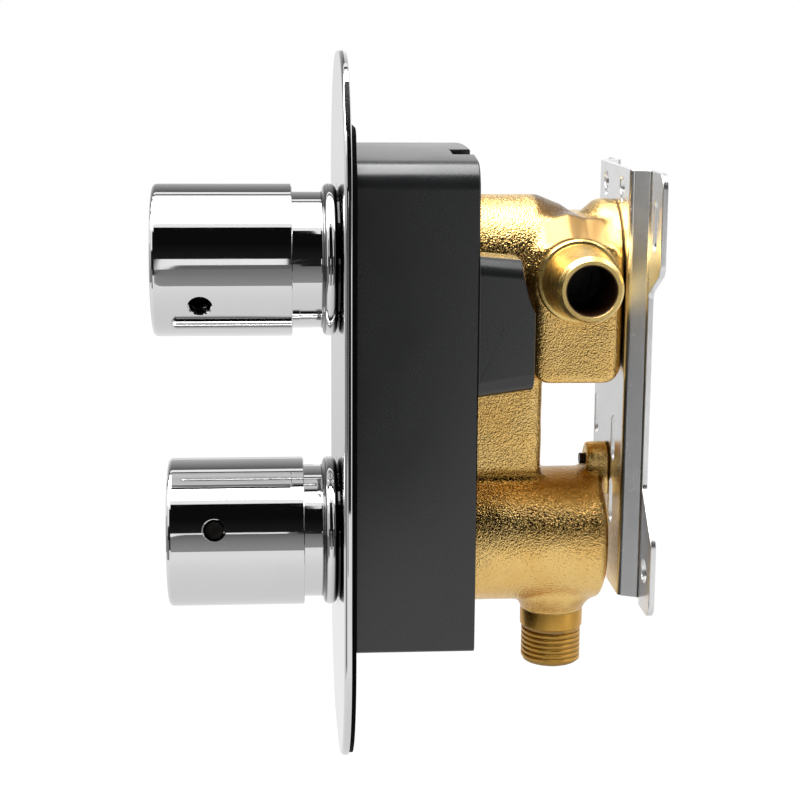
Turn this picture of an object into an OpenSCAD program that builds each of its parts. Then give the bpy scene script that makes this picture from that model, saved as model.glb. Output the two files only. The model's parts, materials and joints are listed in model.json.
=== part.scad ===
// Concealed thermostatic shower valve with two knobs, a face plate and a wall bracket.
// The origin is on the wall, midway between the bracket's two lower fixing holes.
// Z is up and the knobs face -Y.

/* [Placing] */
// Distance from the wall to the front of the face plate
wall_to_face = 103; // [100:1:110]
// Height of the temperature knob's axis above the lower fixing holes
upper_axis_rise = 100.5; // [99:0.1:103]
// Distance between the two knob axes
axis_spacing = 95; // [94:0.5:98]
// Height of the face plate's centre above the lower fixing holes
plate_rise = 50.2; // [48:0.2:52]

/* [Face plate] */
// Width of the face plate
plate_width = 116; // [112:1:126]
// Height of the face plate
plate_height = 240.6; // [236:0.2:250]
// Corner radius of the face plate
plate_corner = 47; // [40:1:54]
// Thickness of the face plate
plate_thick = 2.6; // [2:0.1:3.2]
// Bevel round the front edge of the plate
plate_bevel = 0.7; // [0.3:0.1:1]
// Thickness of the foam seal behind the plate
gasket_thick = 1.4; // [1:0.1:2]
// How far the seal stays inside the plate's edge
gasket_inset = 0.9; // [0.5:0.1:2]
// How far the seal reaches inside the housing's walls
gasket_lip = 2; // [1:0.5:4]
// Height of the seal's top above the lower fixing holes
gasket_top = 147; // [144:0.5:160]

/* [Knobs] */
// Diameter of both knobs
knob_dia = 51.4; // [50.4:0.2:54]
// Length of both knobs
knob_len = 46.6; // [45:0.2:50]
// How far the temperature knob stands out from the plate
upper_reach = 62; // [61:0.5:66]
// How far the flow knob stands out from the plate
lower_reach = 58.4; // [57.4:0.5:62]
// Rounding of the knob's front edge
knob_round = 1.7; // [0.8:0.1:2.5]
// Depth of the recess that takes the sleeve
knob_recess_depth = 3; // [2.5:0.1:4]
// Diameter of the radial hole over the grub screw
knob_hole_dia = 7.2; // [6:0.2:9]
// Distance from the knob's front to the radial hole
knob_hole_back = 16.2; // [14:0.2:20]
// Bevel round the radial hole
hole_bevel = 0.4; // [0.3:0.1:1.2]
// Diameter of the grub screws
grub_dia = 6; // [5:0.5:6]
// Angle of the temperature knob's hole below level
upper_hole_angle = 29.5; // [0:0.5:60]
// Angle of the flow knob's hole above level
lower_hole_angle = 16; // [0:1:40]
// Diameter of the splined insert inside each knob
insert_dia = 24.8; // [22:0.2:27]
// Length of that insert
insert_len = 34; // [32:0.5:36]
// Wall of the knob's shell
knob_wall = 3.4; // [2.8:0.1:4]
// Turn of the temperature knob from rest to full cold, in degrees
cold_turn = 200; // [150:5:220]
// Turn of the temperature knob from rest to full hot, in degrees
hot_turn = 50; // [30:5:70]

/* [Sleeves] */
// Neck diameter of the chrome sleeves
sleeve_dia = 46; // [45:0.2:46.8]
// Diameter of the beads at the sleeve's foot
bead_dia = 51.6; // [50:0.2:53]
// Width of one bead
bead_width = 2.2; // [1.6:0.1:2.4]
// Length of the flare between neck and beads
flare_len = 2.6; // [2:0.2:4]
// Wall of the sleeve's tail behind the plate
sleeve_wall = 1.6; // [1.2:0.1:1.8]

/* [Guard housing] */
// Width of the plastic guard housing
housing_width = 104; // [100:1:108]
// Height of the housing's crown above the lower fixing holes
housing_top = 139.5; // [138:0.5:142]
// Depth of the housing's bottom below the lower fixing holes
housing_bottom = 22.3; // [20:0.1:26]
// How far back the housing reaches
housing_depth = 38.8; // [36:0.4:42]
// Fall of the arched top from its crown to its side
housing_arch = 3.6; // [1:0.2:5]
// Rounding of the housing's top corners
housing_round = 6; // [3:0.5:8]
// Wall of the housing
housing_wall = 2.6; // [2:0.1:3.2]
// How far the two side hoods reach behind the housing
hood_reach = 18; // [14:0.5:20]
// Draft of the hoods' tops towards the rear, in degrees
hood_fall = 5; // [0:0.5:8]
// Draft of the hoods' undersides towards the rear, in degrees
hood_rise = 8; // [0:0.5:10]
// Height of a side hood
hood_height = 45.4; // [40:0.2:48]
// Width of a side hood
hood_width = 24; // [18:0.5:25]
// Radius of the cut that clears the inlet
hood_cut_radius = 39.6; // [36:0.2:44]
// How far behind the inlet axis that cut is centred
hood_cut_back = 17.4; // [14:0.2:20]
// Width of the notches in the top wall's rear edge
notch_width = 12; // [8:1:16]
// Depth of those notches
notch_depth = 6.8; // [4:0.2:10]

/* [Valve body] */
// Outer diameter of the upper barrel
upper_barrel_dia = 44.4; // [43:0.2:46]
// Outer diameter of the lower barrel
lower_barrel_dia = 46.8; // [45:0.2:48]
// How far the lower barrel's outside sits below its bore
lower_barrel_drop = 1.9; // [0:0.1:2.4]
// Distance from the plate's front to the barrels' front ends
barrel_front = 8; // [7:0.5:9]
// Distance from the plate's front to the lower barrel's rear end
lower_barrel_rear = 92.4; // [90:0.2:93]
// Diameter of the nose that the sleeve slides over
nose_dia = 40.4; // [38:0.2:40.8]
// Length of that nose
nose_len = 6; // [5:0.5:8]
// Width of the inlet chamber
chamber_width = 50; // [48:1:54]
// Drop of the chamber's floor below the inlet axis
chamber_drop = 34.8; // [30:0.2:38]
// Distance from the plate's front to the chamber's front wall
chamber_front = 64; // [62:1:68]
// Rounding of the chamber's lower rear corner
chamber_round = 6; // [3:0.5:8]
// Width of the column between the barrels
column_width = 20; // [19:0.5:24]
// Distance from the plate's front to the column's rear wall
column_rear = 70.4; // [68:0.2:74]
// Depth of the column from front to rear
column_depth = 42; // [36:1:48]
// Diameter of the cast neck behind the upper barrel
waist_dia = 33; // [32:0.5:36]

/* [Inlets] */
// Distance from the plate's front to the inlet axes
inlet_back = 78.8; // [78:0.2:80]
// Drop of the inlet axes below the temperature knob's axis
inlet_drop = 4.3; // [3.5:0.1:5]
// Bore of each inlet, for 15.9 mm pipe
inlet_bore = 16; // [15:0.1:16.6]
// Outer diameter of each inlet tube
inlet_dia = 20.6; // [19:0.1:21.2]
// Distance from the middle to the end of each inlet
inlet_reach = 50.9; // [48:0.5:54]
// Diameter of the shoulder at the inlet's root
inlet_shoulder_dia = 27.8; // [26:0.2:29]
// Thickness of that shoulder
inlet_shoulder = 2.6; // [2:0.1:4]
// Diameter of the tapered part at the shoulder
inlet_root_dia = 25; // [23:0.2:25.6]
// Diameter of the bore that holds each check valve
check_bore = 21; // [20.4:0.1:21.6]

/* [Outlet] */
// Distance from the plate's front to the outlet axis
outlet_back = 76.3; // [75.5:0.1:77]
// Nominal outer diameter of the outlet pipe thread
outlet_dia = 20.96; // [20:0.02:21.4]
// Depth of a thread's flanks that the plain cylinder leaves out
thread_relief = 0.4; // [0.2:0.05:0.8]
// Length of the threaded end
thread_len = 13.4; // [12:0.2:16]
// Diameter of the plain collar above the thread
outlet_collar_dia = 22; // [21.4:0.1:23]
// Length of the plain collar above the thread
collar_len = 6.4; // [5:0.2:8]
// Length of the cast flare between barrel and collar
outlet_flare = 3.8; // [3:0.2:7]
// Bore of the outlet
outlet_bore = 14.5; // [12:0.5:15.5]

/* [Cartridges] */
// Bore for the thread of each cartridge nut
nut_bore = 35; // [34:0.2:35.6]
// Length of the bore for the cartridge nut and collar
nut_bore_len = 10; // [9:0.5:12]
// Outer diameter of the cartridges' collars and nuts
collar_dia = 34.6; // [33.6:0.2:34.8]
// Thickness of the cartridges' collars
collar_thick = 3; // [2.5:0.1:4]
// Outer diameter of the cartridges' noses
nose_tube_dia = 21.6; // [20:0.2:22]
// Diameter of both spindles in their bearings
spindle_dia = 9.8; // [9:0.1:10.2]
// Diameter of the thermostat cartridge
thermostat_dia = 28; // [26:0.2:28.4]
// Diameter of the flow cartridge
flow_dia = 30.4; // [29:0.2:31]
// Distance from the plate's front to the column's waterway
waterway_back = 42; // [41:0.5:43]
// Diameter of the column's waterway
waterway_dia = 15; // [13:0.5:15.5]
// Axial movement of the thermostat for one turn of the knob
thermostat_lead = 2; // [1.5:0.1:2.4]
// Width across flats of the cartridge nuts
nut_flats = 30; // [27:0.5:31]
// Diameter of the ceramic discs
disc_dia = 24; // [22:0.2:24.6]
// Thickness of one ceramic disc
disc_thick = 4; // [3:0.2:4.2]

/* [Check valves] */
// Diameter of the check valve's poppet
poppet_dia = 13.4; // [12.4:0.2:14]
// Diameter of the seat opening
seat_dia = 10.8; // [9.6:0.2:11.6]
// Diameter of the poppet's stem
stem_dia = 2.4; // [2:0.1:3]
// Opening travel of the poppet
poppet_travel = 1.5; // [1:0.1:1.6]

/* [Wall bracket] */
// Thickness of the bracket's sheet
sheet = 2; // [1.6:0.1:2.4]
// Width of the bracket's web
web_width = 56; // [54:1:60]
// Height of the bracket's top above the upper fixing slots
bracket_crown = 17.2; // [16:0.2:20]
// Height of the bracket's foot below the lower fixing holes
bracket_foot = 13.8; // [10:0.2:15]
// How far the lower ears reach below the web
ear_drop = 2; // [0:0.2:4]
// Depth of the folded section from the wall to the web's front
bracket_depth = 8.3; // [7.5:0.1:9.5]
// Width over the upper ears
ear_width = 95; // [92:1:98]
// Sideways spacing of the fixing points
fixing_width = 76; // [75:0.5:78]
// Vertical spacing of the fixing points
fixing_height = 115.6; // [112:0.2:118]
// Width of the upper fixing slots
fixing_dia = 5.4; // [5:0.2:7]
// Diameter of the lower fixing holes
fixing_hole_dia = 8; // [6:0.2:9]
// Length of the upper fixing slots
fixing_slot = 16.5; // [12:0.5:18]
// Height of the upper ears
upper_ear = 40; // [36:1:44]
// Height of the lower ears
lower_ear = 41; // [36:1:44]
// Outer bend radius of the folds
bend = 3; // [2.5:0.1:4]
// Lean of the folded side walls, in degrees
side_lean = 25; // [0:1:35]
// Corner radius of the ears
ear_round = 5; // [3:0.5:8]
// Width of the keyhole slots at the top of the web
key_slot_width = 8; // [6:0.2:10]
// Height of those keyhole slots
key_slot_height = 5.6; // [4:0.2:7]
// Length of the long slots in the web
web_slot_len = 16; // [12:0.5:18]
// Width of the long slots in the web
web_slot_width = 6.8; // [4:0.2:8]
// Diameter of the two screws into the valve body
screw_dia = 5; // [4:0.2:6]
// Length of those screws in the casting
screw_len = 6; // [5:0.5:6.5]
// Sideways spacing of those screws
screw_spacing = 24; // [20:1:28]
// Diameter of the screw in the lug
lug_screw_dia = 4; // [3:0.2:4.6]
// Width of the cast lug
lug_width = 12.4; // [9:0.2:14]
// Height of the lug screw above the lower fixing holes
lug_rise = 30.2; // [29:0.2:31]
// Distance from the plate's front to the lug screw's tip
lug_screw_tip = 85; // [83:0.5:87]

/* [Fits] */
// Radial gap of a turning or sliding fit
running_gap = 0.08; // [0.05:0.01:0.1]
// Radial gap of a loose fit
loose_gap = 0.3; // [0.25:0.05:0.5]
// Radial gap between the knob's recess and the sleeve
skirt_gap = 0.4; // [0.3:0.05:0.6]
// Gap between a sleeve's end and the knob's recess floor
end_gap = 0.5; // [0.3:0.1:1]

/* [Hidden] */

// Facets of large and small round shapes
fine = 96;
small = 48;
// Overlap of a cutting shape past the face it opens
cut = 1;

face_y = -wall_to_face;
upper_z = upper_axis_rise;
lower_z = upper_axis_rise - axis_spacing;
inlet_z = upper_z - inlet_drop;

// Distances behind the plate's front face, shared by the parts that stack along the axes
gasket_back = plate_thick + gasket_thick;
housing_rear = gasket_back + housing_depth;
web_front = wall_to_face - bracket_depth;
web_rear = web_front + sheet;
nose_end = barrel_front + nose_len;
collar_seat = barrel_front + nut_bore_len;
collar_front = collar_seat - collar_thick;
nut_front = barrel_front + cut;

knob_r = knob_dia / 2;
sleeve_r = sleeve_dia / 2;
recess_r = sleeve_r + skirt_gap;
bead_r = bead_dia / 2;
tail_r = nose_dia / 2 + loose_gap + sleeve_wall;
hole_r = tail_r + loose_gap;
beads_len = 2 * bead_width;

// Rear of each knob, the floor of its recess and the insert's ends
upper_rear = -upper_reach + knob_len;
lower_rear = -lower_reach + knob_len;

// The thermostat cartridge: a stepped tube with a cavity, a piston in it and a narrow tail
bore_gap = 0.2;
thermostat_r = thermostat_dia / 2;
thermostat_step = waterway_back + 0.71 * thermostat_dia;
tail_radius = 7.6;
tail_wall = 2;
tail_end = thermostat_step + 22;
rear_bore_end = tail_end + 2;
cavity_r = thermostat_r - 3.5;
cavity_front = collar_seat + 2;
cavity_rear = thermostat_step - 3;
nose_tube_r = nose_tube_dia / 2;
nose_tube_front = -2;
nut_hex_len = 5;
nut_hex_front = nut_front - nut_hex_len;
piston_len = 5;
piston_front = cavity_rear - piston_len - 3;
thread_r = 3.4;
flange_r = 8;
flange_thick = 2;
thread_front = cavity_front + loose_gap + flange_thick;
thread_end = cavity_front + 14;
slider_front = thread_front + thermostat_lead + 0.7;
slider_rear = cavity_front + 22;
seal_width = 2.2;
upper_seals = [waterway_back - 18, waterway_back + 8];
lower_seal = waterway_back - 18;

// The tab on the temperature insert and the lug that stops it, as angles and radii
tab_angle = 20;
stop_gap = 2;
stop_sweep = 360 - cold_turn - hot_turn - tab_angle - 2 * stop_gap;
stop_r = nose_tube_r + 3.4;
tab_thick = 4;
skirt_r = 8;
skirt_clear = 0.6;

// The groove and rubber ring round each nose
ring_back = barrel_front + 3;
ring_width = 2.4;
ring_depth = 1.7;

// The splined head on each spindle, inside the insert
head_len = 12;
head_back = 13;
head_gap = 0.4;

flow_r = flow_dia / 2;
flow_cavity_r = disc_dia / 2 + loose_gap;
driver_front = waterway_back + waterway_dia / 2 - 0.5;
driver_thick = 2.5;
driver_r = 9;
disc_front = driver_front + driver_thick;
disc_face = disc_front + disc_thick;
disc_rear = disc_face + disc_thick;
seal_thick = 3;
flow_end = disc_rear + seal_thick;

// The cast body behind the barrels: cylinder end, sloping neck and rear boss
barrel_end = column_rear - 2.4;
waist_back = barrel_end + 13.9;
boss_r = 20.9;
boss_front = web_front - 5.5;
lug_front = web_front - 8;
lug_drop = 12;
column_top = lower_z + axis_spacing - 14;
column_bottom = lower_z + 8;
hood_z = inlet_z - 11.9;
notch_x = 26.5;
lower_barrel_z = lower_z - lower_barrel_drop;
barrel_low = lower_barrel_z - lower_barrel_dia / 2;
outlet_end = barrel_low - outlet_flare - collar_len - thread_len;

// The web's long slots, as [sideways, height above the lug screw]
web_slots = [[-21, 12], [10.5, 9.6], [9, -12.9]];
key_slot_drop = 6.2;
key_tail_width = 3.6;
key_tail_drop = 2.6;

// Height over the whole bracket, and the room of each inlet pad
bracket_height = bracket_foot + fixing_height + bracket_crown;
pad_r = inlet_shoulder_dia / 2 + 0.5;
pad_root_r = 21.5;
pad_root = 16.5;

// The check valve stacks inward from the inlet stub's spigot
pad_face = chamber_width / 2;
spigot_len = 4;
check_outer = pad_face - spigot_len;
seat_wall = 2.4;
poppet_disc = 2;
spider_thick = 3;
check_spring_len = poppet_travel + 2.5;
check_len = seat_wall + poppet_disc + check_spring_len + spider_thick;
check_inner = check_outer - check_len;
cold_channel_r = 4;

// Places a shape whose own axis is Z so that the axis runs back along +Y at height z
module at_axis(z) {
    translate([0, face_y, z]) rotate([-90, 0, 0]) children();
}

// A solid turned about an axis at height z, from points [radius, distance behind the plate's front]
module turned(z, points, facets = fine) {
    at_axis(z) rotate_extrude($fn = facets) polygon(points);
}

// A plain ring or tube about an axis at height z
module tube(z, front, rear, outer, inner, facets = fine) {
    turned(z, [[inner, front], [outer, front], [outer, rear], [inner, rear]], facets);
}

// A plain rod about an axis at height z
module rod(z, front, rear, radius, facets = fine) {
    at_axis(z) translate([0, 0, front]) cylinder(h = rear - front, r = radius, $fn = facets);
}

// A rod along X from x1 to x2 through the inlet axis
module cross_rod(x1, x2, radius, facets = small) {
    translate([x1, face_y + inlet_back, inlet_z]) rotate([0, 90, 0])
        cylinder(h = x2 - x1, r = radius, $fn = facets);
}

// Points of an arc, from angle a to angle b in n steps
function arc(centre, radius, a, b, n = 6) =
    [for (i = [0:n]) centre + radius * [cos(a + (b - a) * i / n), sin(a + (b - a) * i / n)]];

// A rectangle with round corners, drawn about its middle
module round_rect(w, h, r) {
    square([w - 2 * r, h], center = true);
    square([w, h - 2 * r], center = true);
    for (x = [-1, 1], y = [-1, 1])
        translate([x * (w / 2 - r), y * (h / 2 - r)]) circle(r, $fn = fine);
}

// A flat plate with round corners and a bevel round its lower face
module bevelled_plate(w, h, r, t, bevel) {
    profile = function(half) [[-half + bevel, 0], [half - bevel, 0], [half, bevel], [half, t],
        [-half, t], [-half, bevel]];
    translate([0, h / 2 - r, 0]) rotate([90, 0, 0])
        linear_extrude(h - 2 * r) polygon(profile(w / 2));
    translate([-(w / 2 - r), 0, 0]) rotate([90, 0, 90])
        linear_extrude(w - 2 * r) polygon(profile(h / 2));
    for (x = [-1, 1], y = [-1, 1]) translate([x * (w / 2 - r), y * (h / 2 - r), 0]) {
        cylinder(h = bevel, r1 = r - bevel, r2 = r, $fn = fine);
        translate([0, 0, bevel]) cylinder(h = t - bevel, r = r, $fn = fine);
    }
}

// A coil of round wire standing on z = 0, swept as one tube
module coil(mean_r, wire_r, turns, height, sides = 6, steps = 14) {
    rise = (height - 2 * wire_r) / turns;
    count = turns * steps;
    rings = [for (i = [0:count]) let (a = 360 * i / steps, z = wire_r + rise * i / steps)
        [for (j = [0:sides - 1]) let (b = 360 * j / sides, r = mean_r + wire_r * cos(b))
            [r * cos(a), r * sin(a), z + wire_r * sin(b)]]];
    points = [for (ring = rings) each ring];
    walls = [for (i = [0:count - 1], j = [0:sides - 1]) let (k = (j + 1) % sides)
        each [[i * sides + j, i * sides + k, (i + 1) * sides + k],
            [i * sides + j, (i + 1) * sides + k, (i + 1) * sides + j]]];
    first = [for (j = [1:sides - 2]) [0, j + 1, j]];
    last = [for (j = [1:sides - 2]) [count * sides, count * sides + j, count * sides + j + 1]];
    polyhedron(points, concat(walls, first, last));
}

// The splined head of a spindle, or its socket when grown by a gap
module spline(length, grow = 0) {
    teeth = 20;
    root = 3.5 + grow;
    tip = 3.9 + grow;
    linear_extrude(length) polygon([for (i = [0:2 * teeth - 1]) let (a = 180 * i / teeth)
        (i % 2 == 0 ? tip : root) * [cos(a), sin(a)]]);
}

// A slot with round ends, cut along local Z through a sheet
module slot(length, dia, depth) {
    for (y = [-1, 1]) translate([0, y * (length - dia) / 2, 0])
        cylinder(h = depth, d = dia, $fn = small, center = true);
    cube([dia, length - dia, depth], center = true);
}

// The folded outline of the bracket in plan, with its open side towards the wall
module hat_outline() {
    inner = bend - sheet;
    near = [web_width / 2 - bend, -bracket_depth + bend];
    rise = bracket_depth - 2 * bend + (bend + inner) * sin(side_lean);
    reach = (bend + inner) * cos(side_lean) + rise * tan(side_lean);
    far = [near.x + reach, -bend];
    right_outer = concat(
        arc(near, bend, -90, -side_lean),
        arc(far, inner, 180 - side_lean, 90),
        [[ear_width / 2, -sheet], [ear_width / 2, 0]],
        arc(far, bend, 90, 180 - side_lean),
        arc(near, inner, -side_lean, -90));
    left_outer = [for (i = [len(right_outer) - 1:-1:0]) [-right_outer[i].x, right_outer[i].y]];
    polygon(concat(right_outer, left_outer));
}

// The region outside one ear's outline, drawn in the wall plane
module ear_trim() {
    top = bracket_height - bracket_foot;
    bottom = -bracket_foot;
    fold = web_width / 2 + bend;
    edge = ear_width / 2;
    upper_slope = 8;
    lower_slope = 15;
    fold_round = 3;
    far = edge + 5;
    upper_turn = atan((edge - fold) / upper_slope);
    lower_turn = atan((edge - fold) / lower_slope);
    upper_start = top - upper_ear + upper_slope + ear_round * tan(upper_turn / 2);
    upper_end = top - upper_ear - fold_round * tan(upper_turn / 2);
    lower_start = bottom + lower_ear - lower_slope - ear_round * tan(lower_turn / 2);
    lower_end = bottom + lower_ear + fold_round * tan(lower_turn / 2);
    polygon(concat(
        [[far, top + cut], [edge - ear_round, top + cut]],
        arc([edge - ear_round, top - ear_round], ear_round, 90, 0),
        arc([edge - ear_round, upper_start], ear_round, 0, -upper_turn),
        arc([fold + fold_round, upper_end], fold_round, 180 - upper_turn, 180),
        arc([fold + fold_round, lower_end], fold_round, 180, 180 + lower_turn),
        arc([edge - ear_round, lower_start], ear_round, lower_turn, 0),
        arc([edge - ear_round, bottom + ear_round], ear_round, 0, -90),
        [[edge - ear_round, bottom - cut], [far, bottom - cut]]));
}

// A slot through the bracket's web
module web_slot(x, z, length, dia) {
    translate([x, face_y + web_front + sheet / 2, z]) rotate([90, 0, 0])
        slot(length, dia, sheet + 2 * cut);
}

// A round clearance hole for a screw through the web
module web_hole(x, z, dia) {
    translate([x, face_y + web_front + sheet / 2, z]) rotate([90, 0, 0])
        cylinder(h = sheet + 2 * cut, d = dia + 2 * loose_gap, $fn = small, center = true);
}

// A keyhole slot through the web: a wide upper part and a narrow tail below it
module key_slot(x, z) {
    translate([x, face_y + web_front + sheet / 2, z]) rotate([90, 0, 0]) {
        rotate(90) slot(key_slot_width, key_slot_height, sheet + 2 * cut);
        translate([0, -key_tail_drop]) slot(key_slot_height, key_tail_width, sheet + 2 * cut);
    }
}

module wall_bracket() color("lightsteelblue") difference() {
    translate([0, 0, -bracket_foot]) linear_extrude(bracket_height) hat_outline();
    translate([0, -bracket_depth / 2, -bracket_foot])
        cube([web_width + 2 * bend, bracket_depth + 2 * cut, 2 * ear_drop], center = true);
    for (side = [0, 1]) mirror([side, 0, 0]) {
        translate([0, cut, 0]) rotate([90, 0, 0]) linear_extrude(sheet + 2 * cut) ear_trim();
        translate([fixing_width / 2, -sheet / 2, fixing_height]) rotate([90, 0, 0])
            slot(fixing_slot, fixing_dia, sheet + 2 * cut);
        translate([fixing_width / 2, -sheet / 2, 0]) rotate([90, 0, 0])
            cylinder(h = sheet + 2 * cut, d = fixing_hole_dia, $fn = small, center = true);
        key_slot(web_width / 4, bracket_height - bracket_foot - key_slot_drop);
        web_hole(screw_spacing / 2, upper_z, screw_dia);
    }
    for (p = web_slots) web_slot(p.x, lug_rise + p.y, web_slot_len, web_slot_width);
    web_hole(0, lug_rise, lug_screw_dia);
}

// A pan head screw entering forward from behind the web at (x, z)
module rear_screw(x, z, dia, length) {
    head = 0.55 * dia;
    translate([x, face_y + web_rear, z]) rotate([90, 0, 0]) difference() {
        union() {
            translate([0, 0, -head]) cylinder(h = head, d = 1.9 * dia, $fn = small);
            translate([0, 0, -cut / 2])
                cylinder(h = length + cut / 2, d = dia - 2 * running_gap, $fn = small);
        }
        for (turn = [0, 90]) rotate(turn) translate([0, 0, -head])
            cube([dia, 0.2 * dia, 0.8 * head], center = true);
    }
}

module bracket_screws() color("silver") for (side = [-1, 1])
    rear_screw(side * screw_spacing / 2, upper_z, screw_dia, screw_len);

module lug_screw() color("dimgray")
    rear_screw(0, lug_rise, lug_screw_dia, web_rear - lug_screw_tip);

// The outside of the cast body before anything is bored
module casting_outside() {
    upper_r = upper_barrel_dia / 2;
    lower_r = lower_barrel_dia / 2;
    lower_round = 2.4;
    turned(upper_z, [[0, barrel_front], [nose_dia / 2, barrel_front], [nose_dia / 2, nose_end],
        [upper_r, nose_end], [upper_r, barrel_end], [waist_dia / 2, waist_back],
        [boss_r, boss_front], [boss_r, web_front], [0, web_front]]);
    rod(lower_z, barrel_front, nose_end + cut, nose_dia / 2);
    turned(lower_barrel_z, concat([[0, nose_end], [lower_r, nose_end]],
        arc([lower_r - lower_round, lower_barrel_rear - lower_round], lower_round, 0, 90),
        [[0, lower_barrel_rear]]));
    chamber_block();
    column_block();
    outlet_outside();
    lug_block();
}

// The squarish inlet chamber, with a coned pad for each inlet
module chamber_block() {
    rear = web_front - loose_gap;
    depth = rear - chamber_front;
    height = chamber_drop + 12;
    bottom = inlet_z - chamber_drop;
    middle_y = face_y + chamber_front + depth / 2;
    side_round = 4;
    intersection() {
        translate([-chamber_width / 2, middle_y, bottom + height / 2]) rotate([90, 0, 90])
            linear_extrude(chamber_width) round_rect(depth, height, chamber_round);
        translate([0, middle_y, bottom])
            linear_extrude(height) round_rect(chamber_width, depth, side_round);
    }
    intersection() {
        translate([0, face_y + inlet_back, inlet_z]) rotate([0, 90, 0]) rotate_extrude($fn = fine)
            polygon([[0, -pad_face], [pad_r, -pad_face], [pad_root_r, -pad_root],
                [pad_root_r, pad_root], [pad_r, pad_face], [0, pad_face]]);
        translate([0, face_y + rear - axis_spacing / 2, inlet_z])
            cube([chamber_width + cut, axis_spacing, axis_spacing], center = true);
    }
}

// The column that carries mixed water down to the flow cartridge
module column_block() {
    column_round = 3;
    translate([0, face_y + column_rear - column_depth / 2, column_bottom])
        linear_extrude(column_top - column_bottom) round_rect(column_width, column_depth, column_round);
}

// The outlet below the lower barrel: cast flare, plain collar and threaded end
module outlet_outside() {
    collar_r = outlet_collar_dia / 2;
    thread_r = outlet_dia / 2 - thread_relief;
    flare_top = 4;
    translate([0, face_y + outlet_back, barrel_low]) rotate_extrude($fn = fine) polygon([
        [0, flare_top], [collar_r + 3.4, flare_top], [collar_r + 2.2, 0],
        [collar_r + 0.3, -outlet_flare + 1], [collar_r, -outlet_flare],
        [collar_r - 0.3, -outlet_flare - collar_len], [thread_r, -outlet_flare - collar_len - 0.4],
        [thread_r, -outlet_flare - collar_len - thread_len + 0.8],
        [thread_r - 0.8, -outlet_flare - collar_len - thread_len],
        [0, -outlet_flare - collar_len - thread_len]]);
}

// The round-topped lug that the lower screw passes through
module lug_block() {
    thick = web_front - lug_front;
    translate([0, face_y + lug_front, lug_rise]) rotate([-90, 0, 0])
        cylinder(h = thick, d = lug_width, $fn = small);
    translate([-lug_width / 2, face_y + lug_front, lug_rise - lug_drop]) cube([lug_width, thick, lug_drop]);
}

module valve_body() color("goldenrod") difference() {
    casting_outside();
    // The two cartridge bores, each wider at its front for the nut, and a groove round each nose
    for (z = [upper_z, lower_z]) {
        rod(z, barrel_front - cut, collar_seat, nut_bore / 2);
        tube(z, ring_back - ring_width / 2, ring_back + ring_width / 2, nose_dia / 2 + cut,
            nose_dia / 2 - ring_depth);
    }
    rod(upper_z, collar_seat - cut, thermostat_step, thermostat_r + bore_gap);
    rod(upper_z, thermostat_step - cut, rear_bore_end, tail_radius + loose_gap);
    rod(lower_z, collar_seat - cut, flow_end, flow_r + bore_gap);
    rod(lower_z, flow_end - cut, outlet_back + outlet_bore / 2, outlet_bore / 2 + 1);
    // The waterway from the mixing chamber down to the flow cartridge
    translate([0, face_y + waterway_back, lower_z])
        cylinder(h = axis_spacing, d = waterway_dia, $fn = small);
    // The outlet bore
    translate([0, face_y + outlet_back, outlet_end - cut])
        cylinder(h = lower_z - outlet_end + cut, d = outlet_bore, $fn = small);
    // The inlet bores: hot opens on the cartridge's tail, and cold runs forward to its front windows
    cross_rod(0, pad_face + cut, check_bore / 2);
    cross_rod(-pad_face - cut, -check_inner, check_bore / 2);
    translate([-check_inner - cold_channel_r + cut, face_y + inlet_back, inlet_z]) rotate([90, 0, 0])
        cylinder(h = inlet_back - thermostat_step + 6, r = cold_channel_r, $fn = small);
    // Tapped holes for the bracket screws, and the lug's hole
    for (side = [-1, 1]) translate([side * screw_spacing / 2, face_y + web_front + cut, upper_z])
        rotate([90, 0, 0]) cylinder(h = screw_len - sheet + loose_gap + cut, d = screw_dia, $fn = small);
    translate([0, face_y + web_front + cut, lug_rise]) rotate([90, 0, 0])
        cylinder(h = web_front - lug_screw_tip + 2 * cut, d = lug_screw_dia, $fn = small);
}

// A turned inlet stub on the +X side: spigot, shoulder, tube and chamfered end
module inlet_stub() {
    bore_r = inlet_bore / 2;
    tube_r = inlet_dia / 2;
    shoulder_r = inlet_shoulder_dia / 2;
    root_r = inlet_root_dia / 2;
    spigot_r = check_bore / 2 - running_gap;
    shoulder_end = pad_face + inlet_shoulder;
    rim = 3;
    translate([0, face_y + inlet_back, inlet_z]) rotate([0, 90, 0]) rotate_extrude($fn = fine) polygon([
        [bore_r, check_outer], [spigot_r, check_outer], [spigot_r, pad_face],
        [shoulder_r, pad_face], [shoulder_r, shoulder_end - 0.5], [shoulder_r - 0.5, shoulder_end],
        [root_r, shoulder_end + 0.2], [root_r - 0.3, shoulder_end + 1.4],
        [tube_r + 0.5, inlet_reach - rim], [tube_r, inlet_reach - rim + 0.6],
        [tube_r, inlet_reach - 1], [tube_r - 0.7, inlet_reach], [bore_r + 0.5, inlet_reach],
        [bore_r, inlet_reach - 0.5]]);
}

module hot_inlet() color("gold") inlet_stub();

module cold_inlet() color("gold") mirror([1, 0, 0]) inlet_stub();

// The arched outline of the housing seen from the front, shrunk by a wall
module housing_outline(wall = 0) {
    half = housing_width / 2 - wall;
    top = housing_top - wall;
    bottom = -housing_bottom + wall;
    r = max(housing_round - wall, 1);
    foot = 1;
    crown_r = (half * half + housing_arch * housing_arch) / (2 * housing_arch);
    swing = asin((half - r) / crown_r);
    edge_z = top - crown_r + sqrt(crown_r * crown_r - (half - r) * (half - r));
    polygon(concat(
        [[-half + foot, bottom], [half - foot, bottom], [half, bottom + foot]],
        arc([half - r, edge_z - r], r, 0, 90),
        arc([0, top - crown_r], crown_r, 90 - swing, 90 + swing, 24),
        arc([-half + r, edge_z - r], r, 90, 180),
        [[-half, bottom + foot]]));
}

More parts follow.
